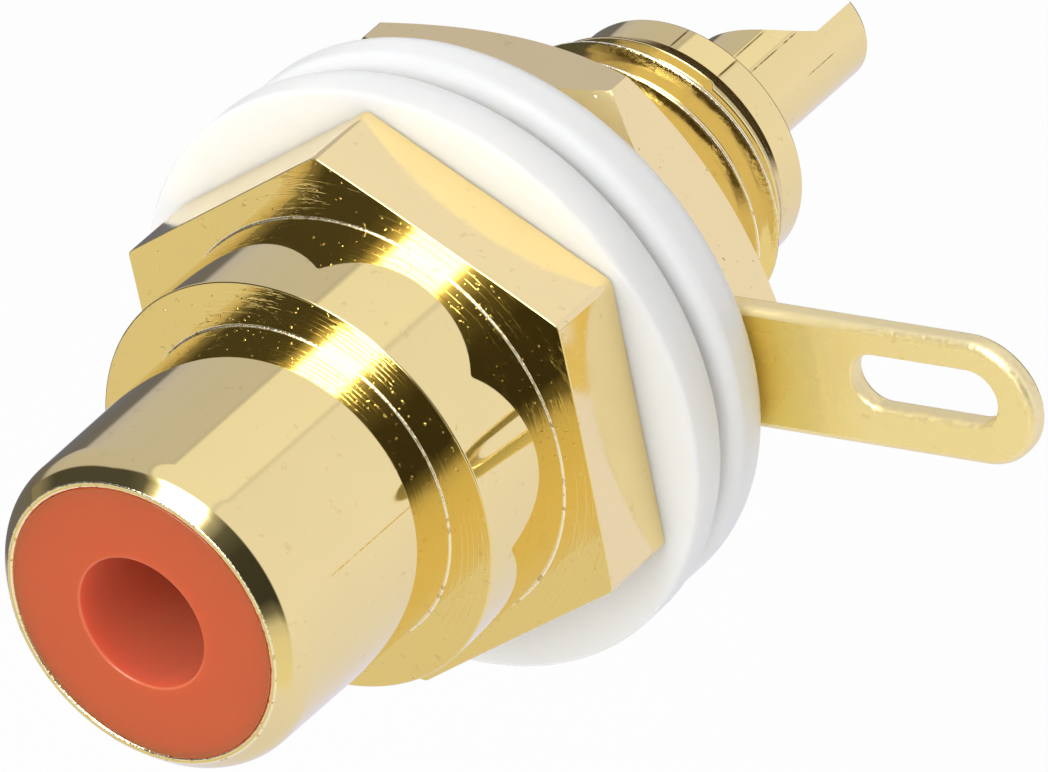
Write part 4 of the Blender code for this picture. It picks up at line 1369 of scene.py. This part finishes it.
def build_hex_nut():
    """The nut: chamfered flats outside, and a countersunk thread inside that follows the shell's."""
    sizes = settings().nut
    shell = settings().shell
    low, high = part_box("hex_nut")[0].y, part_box("hex_nut")[1].y
    apothem = sizes.across_flats / 2.0
    corner_reach = sizes.across_flats / math.sqrt(3.0)
    slope = math.tan(sizes.chamfer_angle)
    face_radius = corner_reach - sizes.chamfer_depth / slope
    angles = hexagon_angles(sizes.corner_direction, apothem, sizes.corner_round)
    outline, outward = hexagon_outline(angles, sizes.corner_direction, apothem, sizes.corner_round)
    drop = (outline - face_radius) * slope
    front = np.tile(-AXIS, (len(angles), 1))
    cone_front = spread((math.sin(sizes.chamfer_angle), -math.cos(sizes.chamfer_angle)), angles)
    cone_rear = spread((math.sin(sizes.chamfer_angle), math.cos(sizes.chamfer_angle)), angles)
    open_radius = shell.thread_radius + sizes.thread_play + sizes.countersink

    def shape(along, around_angles):
        mouth = open_radius - np.minimum(along - low, high - along)
        root = thread_radius(along, around_angles, shell) + sizes.thread_play
        return np.maximum(root, mouth)

    bore = thread_rows(shell, low, high, angles, shape)[::-1]
    rings = [
        (bore[-1][0], None, front, TURNED),
        (around(face_radius, low, angles), front, cone_front, FLAT),
        (around(outline, low + drop, angles), cone_front, outward, FLAT),
        (around(outline, high - drop, angles), outward, cone_rear, FLAT),
        (around(face_radius, high, angles), cone_rear, -front, TURNED),
        (bore[0][0], -front, None, TURNED),
    ]
    skin = new_skin()
    for start, end in zip(rings, rings[1:]):
        add_strip(skin, start[0], end[0], start[2], end[1], start[3])
    for start, end in zip(bore, bore[1:]):
        add_strip(skin, start[0], end[0], -start[1], -end[1], THREAD)
    piece = mesh_object("hex_nut_gold", skin, gold_materials())
    return finish_piece(piece, "nut", "hex_nut")


# Stage

# The studio's walls round the axis, as polished metal sees them: (degrees, brightness, blue share)
REAR_WALL = [
    (-180.0, 0.17, 1.2),
    (-152.0, 0.17, 1.2),
    (-142.0, 0.72, 1.2),
    (-132.0, 0.78, 1.27),
    (-72.0, 0.88, 1.24),
    (-12.0, 0.97, 1.24),
    (0.0, 0.96, 1.22),
    (60.0, 0.94, 1.20),
    (61.0, 0.78, 1.2),
    (62.5, 0.80, 1.2),
    (63.5, 1.00, 1.13),
    (103.0, 0.97, 1.13),
    (104.5, 0.58, 1.2),
    (105.3, 0.58, 1.2),
    (106.5, 0.65, 1.24),
    (158.0, 0.62, 1.24),
    (170.0, 0.55, 1.3),
    (175.0, 0.18, 1.2),
]
FRONT_WALL = [
    (-180.0, 0.55, 0.75),
    (-168.0, 0.80, 0.75),
    (-125.0, 0.84, 0.75),
    (-100.0, 0.92, 0.80),
    (-60.0, 0.94, 0.80),
    (-30.0, 0.86, 0.85),
    (-21.0, 0.70, 0.9),
    (-13.0, 0.20, 0.9),
    (-4.0, 0.05, 0.9),
    (32.0, 0.055, 0.9),
    (50.0, 0.13, 1.0),
    (60.0, 0.50, 1.0),
    (64.0, 1.30, 1.0),
    (69.0, 10.00, 1.0),
    (95.0, 10.00, 1.0),
    (100.0, 1.20, 0.9),
    (104.0, 0.60, 0.9),
    (109.0, 0.14, 1.0),
    (120.0, 0.08, 1.0),
    (165.0, 0.08, 1.0),
    (175.0, 0.26, 0.9),
]
BRIGHTEST = 10.0
DARK_BEHIND = (0.06, 0.045, 0.03)
WHITE = (1.0, 1.0, 1.0)


def wall_ramp(nodes, heading, stops):
    """Brightness by direction round the socket's axis."""
    ramp = nodes.add("ShaderNodeValToRGB", {"Fac": heading})
    points = ramp.color_ramp.elements
    while len(points) > 1:
        points.remove(points[0])
    for index, (degrees, level, blue) in enumerate(stops):
        where = (degrees + 180.0) / 360.0
        point = points[0] if index == 0 else points.new(where)
        point.position = where
        red = level / BRIGHTEST
        point.color = (red, red * min(1.0, 0.7 + 0.3 * blue), red * blue, 1.0)
    return ramp.outputs["Color"]


def studio_walls(nodes, y, z, degrees):
    """The front and rear walls, which meet on a slant, and a dark patch straight behind."""
    heading = nodes.map(degrees, -180.0, 180.0, 0.0, 1.0)
    rear = wall_ramp(nodes, heading, REAR_WALL)
    front = wall_ramp(nodes, heading, FRONT_WALL)
    meeting = nodes.map(degrees, 129.0, 180.0, -0.32, 0.12)
    behind = nodes.map(nodes.math("SUBTRACT", y, meeting), -0.05, 0.05, 0.0, 1.0, smooth=True)
    walls = nodes.mix(behind, front, rear)
    straight_behind = nodes.map(y, 0.76, 0.86, 0.0, 1.0)
    above_floor = nodes.map(z, -0.44, -0.30, 0.0, 1.0)
    dark = nodes.math("MULTIPLY", straight_behind, above_floor)
    return nodes.mix(dark, walls, rgba(tuple(part / BRIGHTEST for part in DARK_BEHIND)))


def build_world(stage):
    """White to the camera, an even sky to matt surfaces, and the studio's walls to polished metal."""
    world = bpy.data.worlds.new("studio")
    bpy.context.scene.world = world
    world.use_nodes = True
    nodes = Nodes(world.node_tree)
    direction = nodes.add("ShaderNodeTexCoord").outputs["Generated"]
    x, y, z = nodes.add("ShaderNodeSeparateXYZ", {0: direction}).outputs
    degrees = nodes.math("MULTIPLY", nodes.math("ARCTAN2", z, x), 180.0 / math.pi)
    walls = studio_walls(nodes, y, z, degrees)
    even = nodes.math("MULTIPLY", nodes.map(x, 0.4, 0.95, 1.0, 0.05, smooth=True), stage.sky)
    sky = nodes.add("ShaderNodeBackground", {"Color": rgba(WHITE), "Strength": even})
    room = nodes.add("ShaderNodeBackground", {"Color": walls, "Strength": BRIGHTEST})
    white = nodes.add("ShaderNodeBackground", {"Color": rgba(WHITE), "Strength": 1.0})
    rays = nodes.add("ShaderNodeLightPath").outputs
    seen = nodes.math("MAXIMUM", rays["Is Camera Ray"], rays["Is Transmission Ray"])
    lit = nodes.add("ShaderNodeMixShader", {0: rays["Is Glossy Ray"], 1: sky.outputs[0], 2: room.outputs[0]})
    shown = nodes.add("ShaderNodeMixShader", {0: seen, 1: lit.outputs[0], 2: white.outputs[0]})
    nodes.add("ShaderNodeOutputWorld", {"Surface": shown.outputs[0]})
    return world


# The floor's two tints, and how far it is white to the camera before its shadow shows
FLOOR_PALE = (0.96, 0.96, 0.96)
FLOOR_DEEP = (0.93, 0.93, 0.93)
FLOOR_WHITENESS = 0.82

# The softbox over the mouth: its direction from the socket, and its power in watts
KEY_DIRECTION = (0.10, -0.82, 0.58)
KEY_WATTS = 2.1


def floor_material():
    """A pale floor that renders white and keeps a soft shadow."""
    material, nodes, place = start_material("pale floor")
    speckle = nodes.noise(place, scale=0.02, detail=2.0)
    tint = nodes.mix(speckle, rgba(FLOOR_PALE), rgba(FLOOR_DEEP))
    lit = nodes.add("ShaderNodeBsdfDiffuse", {"Color": tint})
    white = nodes.add("ShaderNodeEmission", {"Color": rgba(WHITE), "Strength": 1.0})
    rays = nodes.add("ShaderNodeLightPath").outputs
    seen = nodes.math("MAXIMUM", rays["Is Camera Ray"], rays["Is Glossy Ray"])
    seen = nodes.math("MAXIMUM", seen, rays["Is Transmission Ray"])
    amount = nodes.math("MULTIPLY", seen, FLOOR_WHITENESS)
    shown = nodes.add("ShaderNodeMixShader", {0: amount, 1: lit.outputs[0], 2: white.outputs[0]})
    nodes.add("ShaderNodeOutputMaterial", {"Surface": shown.outputs[0]})
    return material


def add_area_light(name, direction, distance, size, power):
    """A square softbox that faces the socket, and that mirrors and the camera don't see."""
    data = bpy.data.lights.new(name, "AREA")
    data.shape = "SQUARE"
    data.size = size
    data.energy = power
    light = bpy.data.objects.new(name, data)
    back = Vector(direction).normalized()
    light.location = back * distance
    light.rotation_euler = back.to_track_quat("Z", "Y").to_euler()
    light.visible_glossy = False
    light.visible_camera = False
    bpy.context.scene.collection.objects.link(light)
    return light


def build_camera(stage):
    """The camera, where the photographer stood."""
    data = bpy.data.cameras.new("photo view")
    data.sensor_fit = "HORIZONTAL"
    data.sensor_width = 36.0
    data.lens = stage.lens_px * data.sensor_width / stage.picture_width
    data.clip_start = 0.01
    data.clip_end = 50.0
    camera = bpy.data.objects.new("photo view", data)
    camera.matrix_world = Matrix.LocRotScale(Vector(stage.camera_place), Euler(stage.camera_turn), None)
    bpy.context.scene.collection.objects.link(camera)
    bpy.context.scene.camera = camera
    return camera


def build_floor(stage):
    """A wide pale floor below the socket."""
    half = stage.floor_size / 2.0
    bm = bmesh.new()
    corners = [(-half, -half), (half, -half), (half, half), (-half, half)]
    bm.faces.new([bm.verts.new((x, y, -stage.floor_drop)) for x, y in corners])
    bmesh.ops.subdivide_edges(bm, edges=bm.edges, cuts=3, use_grid_fill=True)
    mesh = bpy.data.meshes.new("floor")
    bm.to_mesh(mesh)
    bm.free()
    mesh.materials.append(floor_material())
    floor = bpy.data.objects.new("floor", mesh)
    bpy.context.scene.collection.objects.link(floor)
    floor.visible_glossy = False
    return floor


def build_stage():
    """The world, the floor, the softbox and the camera."""
    stage = settings().stage
    build_world(stage)
    build_floor(stage)
    power = KEY_WATTS * stage.key_power
    add_area_light("softbox over the mouth", KEY_DIRECTION, stage.key_reach, stage.key_side, power)
    bpy.context.scene.view_settings.view_transform = "Standard"
    return build_camera(stage)


# Operators


def report_made(operator, made):
    """Ends an operator, or raises where it made nothing."""
    if not made:
        raise RuntimeError(f"{operator.bl_idname} made nothing")
    return {"FINISHED"}


class SOCKET_OT_add_shell(bpy.types.Operator):
    """Adds the turned shell with its hexagon and thread"""

    bl_idname = "socket.add_shell"
    bl_label = "Add Shell"
    bl_options = {"REGISTER", "UNDO"}

    def execute(self, context):
        return report_made(self, build_shell())


class SOCKET_OT_add_front_insulator(bpy.types.Operator):
    """Adds the red insulator in the mouth"""

    bl_idname = "socket.add_front_insulator"
    bl_label = "Add Front Insulator"
    bl_options = {"REGISTER", "UNDO"}

    def execute(self, context):
        return report_made(self, build_front_insulator())


class SOCKET_OT_add_rear_insulator(bpy.types.Operator):
    """Adds the white bush in the neck"""

    bl_idname = "socket.add_rear_insulator"
    bl_label = "Add Rear Insulator"
    bl_options = {"REGISTER", "UNDO"}

    def execute(self, context):
        return report_made(self, build_rear_insulator())


class SOCKET_OT_add_centre_contact(bpy.types.Operator):
    """Adds the split sleeve with its scooped solder cup"""

    bl_idname = "socket.add_centre_contact"
    bl_label = "Add Centre Contact"
    bl_options = {"REGISTER", "UNDO"}

    def execute(self, context):
        return report_made(self, build_centre_contact())


class SOCKET_OT_add_washers(bpy.types.Operator):
    """Adds the two insulating washers"""

    bl_idname = "socket.add_washers"
    bl_label = "Add Washers"
    bl_options = {"REGISTER", "UNDO"}

    def execute(self, context):
        return report_made(self, build_washers())


class SOCKET_OT_add_solder_tag(bpy.types.Operator):
    """Adds the slotted solder tag"""

    bl_idname = "socket.add_solder_tag"
    bl_label = "Add Solder Tag"
    bl_options = {"REGISTER", "UNDO"}

    def execute(self, context):
        return report_made(self, build_solder_tag())


class SOCKET_OT_add_hex_nut(bpy.types.Operator):
    """Adds the hexagon nut with its thread"""

    bl_idname = "socket.add_hex_nut"
    bl_label = "Add Hex Nut"
    bl_options = {"REGISTER", "UNDO"}

    def execute(self, context):
        return report_made(self, build_hex_nut())


class SOCKET_OT_add_stage(bpy.types.Operator):
    """Adds the floor, the studio light and the camera"""

    bl_idname = "socket.add_stage"
    bl_label = "Add Stage"
    bl_options = {"REGISTER", "UNDO"}

    def execute(self, context):
        return report_made(self, build_stage())


STEPS = [
    SOCKET_OT_add_shell,
    SOCKET_OT_add_front_insulator,
    SOCKET_OT_add_rear_insulator,
    SOCKET_OT_add_centre_contact,
    SOCKET_OT_add_washers,
    SOCKET_OT_add_solder_tag,
    SOCKET_OT_add_hex_nut,
    SOCKET_OT_add_stage,
]


class SOCKET_PT_pieces(bpy.types.Panel):
    """Lists the socket's pieces in the sidebar"""

    bl_label = "Phono Socket"
    bl_space_type = "VIEW_3D"
    bl_region_type = "UI"
    bl_category = "Socket"

    def draw(self, context):
        for step in STEPS:
            self.layout.operator(step.bl_idname)


GROUPS = [
    ShellSizes,
    InsulatorSizes,
    ContactSizes,
    WasherSizes,
    TagSizes,
    NutSizes,
    Finish,
    StageSettings,
    SocketSettings,
]
CLASSES = [*GROUPS, *STEPS, SOCKET_PT_pieces]


def register():
    for item in CLASSES:
        bpy.utils.register_class(item)
    bpy.types.Scene.phono_socket = PointerProperty(
        name="Phono socket", description="Sizes and colours of the phono socket", type=SocketSettings
    )


def unregister():
    del bpy.types.Scene.phono_socket
    for item in reversed(CLASSES):
        bpy.utils.unregister_class(item)


def main():
    """Builds the socket and its stage."""
    register()
    bpy.ops.socket.add_shell()
    bpy.ops.socket.add_front_insulator()
    bpy.ops.socket.add_rear_insulator()
    bpy.ops.socket.add_centre_contact()
    bpy.ops.socket.add_washers()
    bpy.ops.socket.add_solder_tag()
    bpy.ops.socket.add_hex_nut()
    bpy.ops.socket.add_stage()


if __name__ == "__main__":
    main()
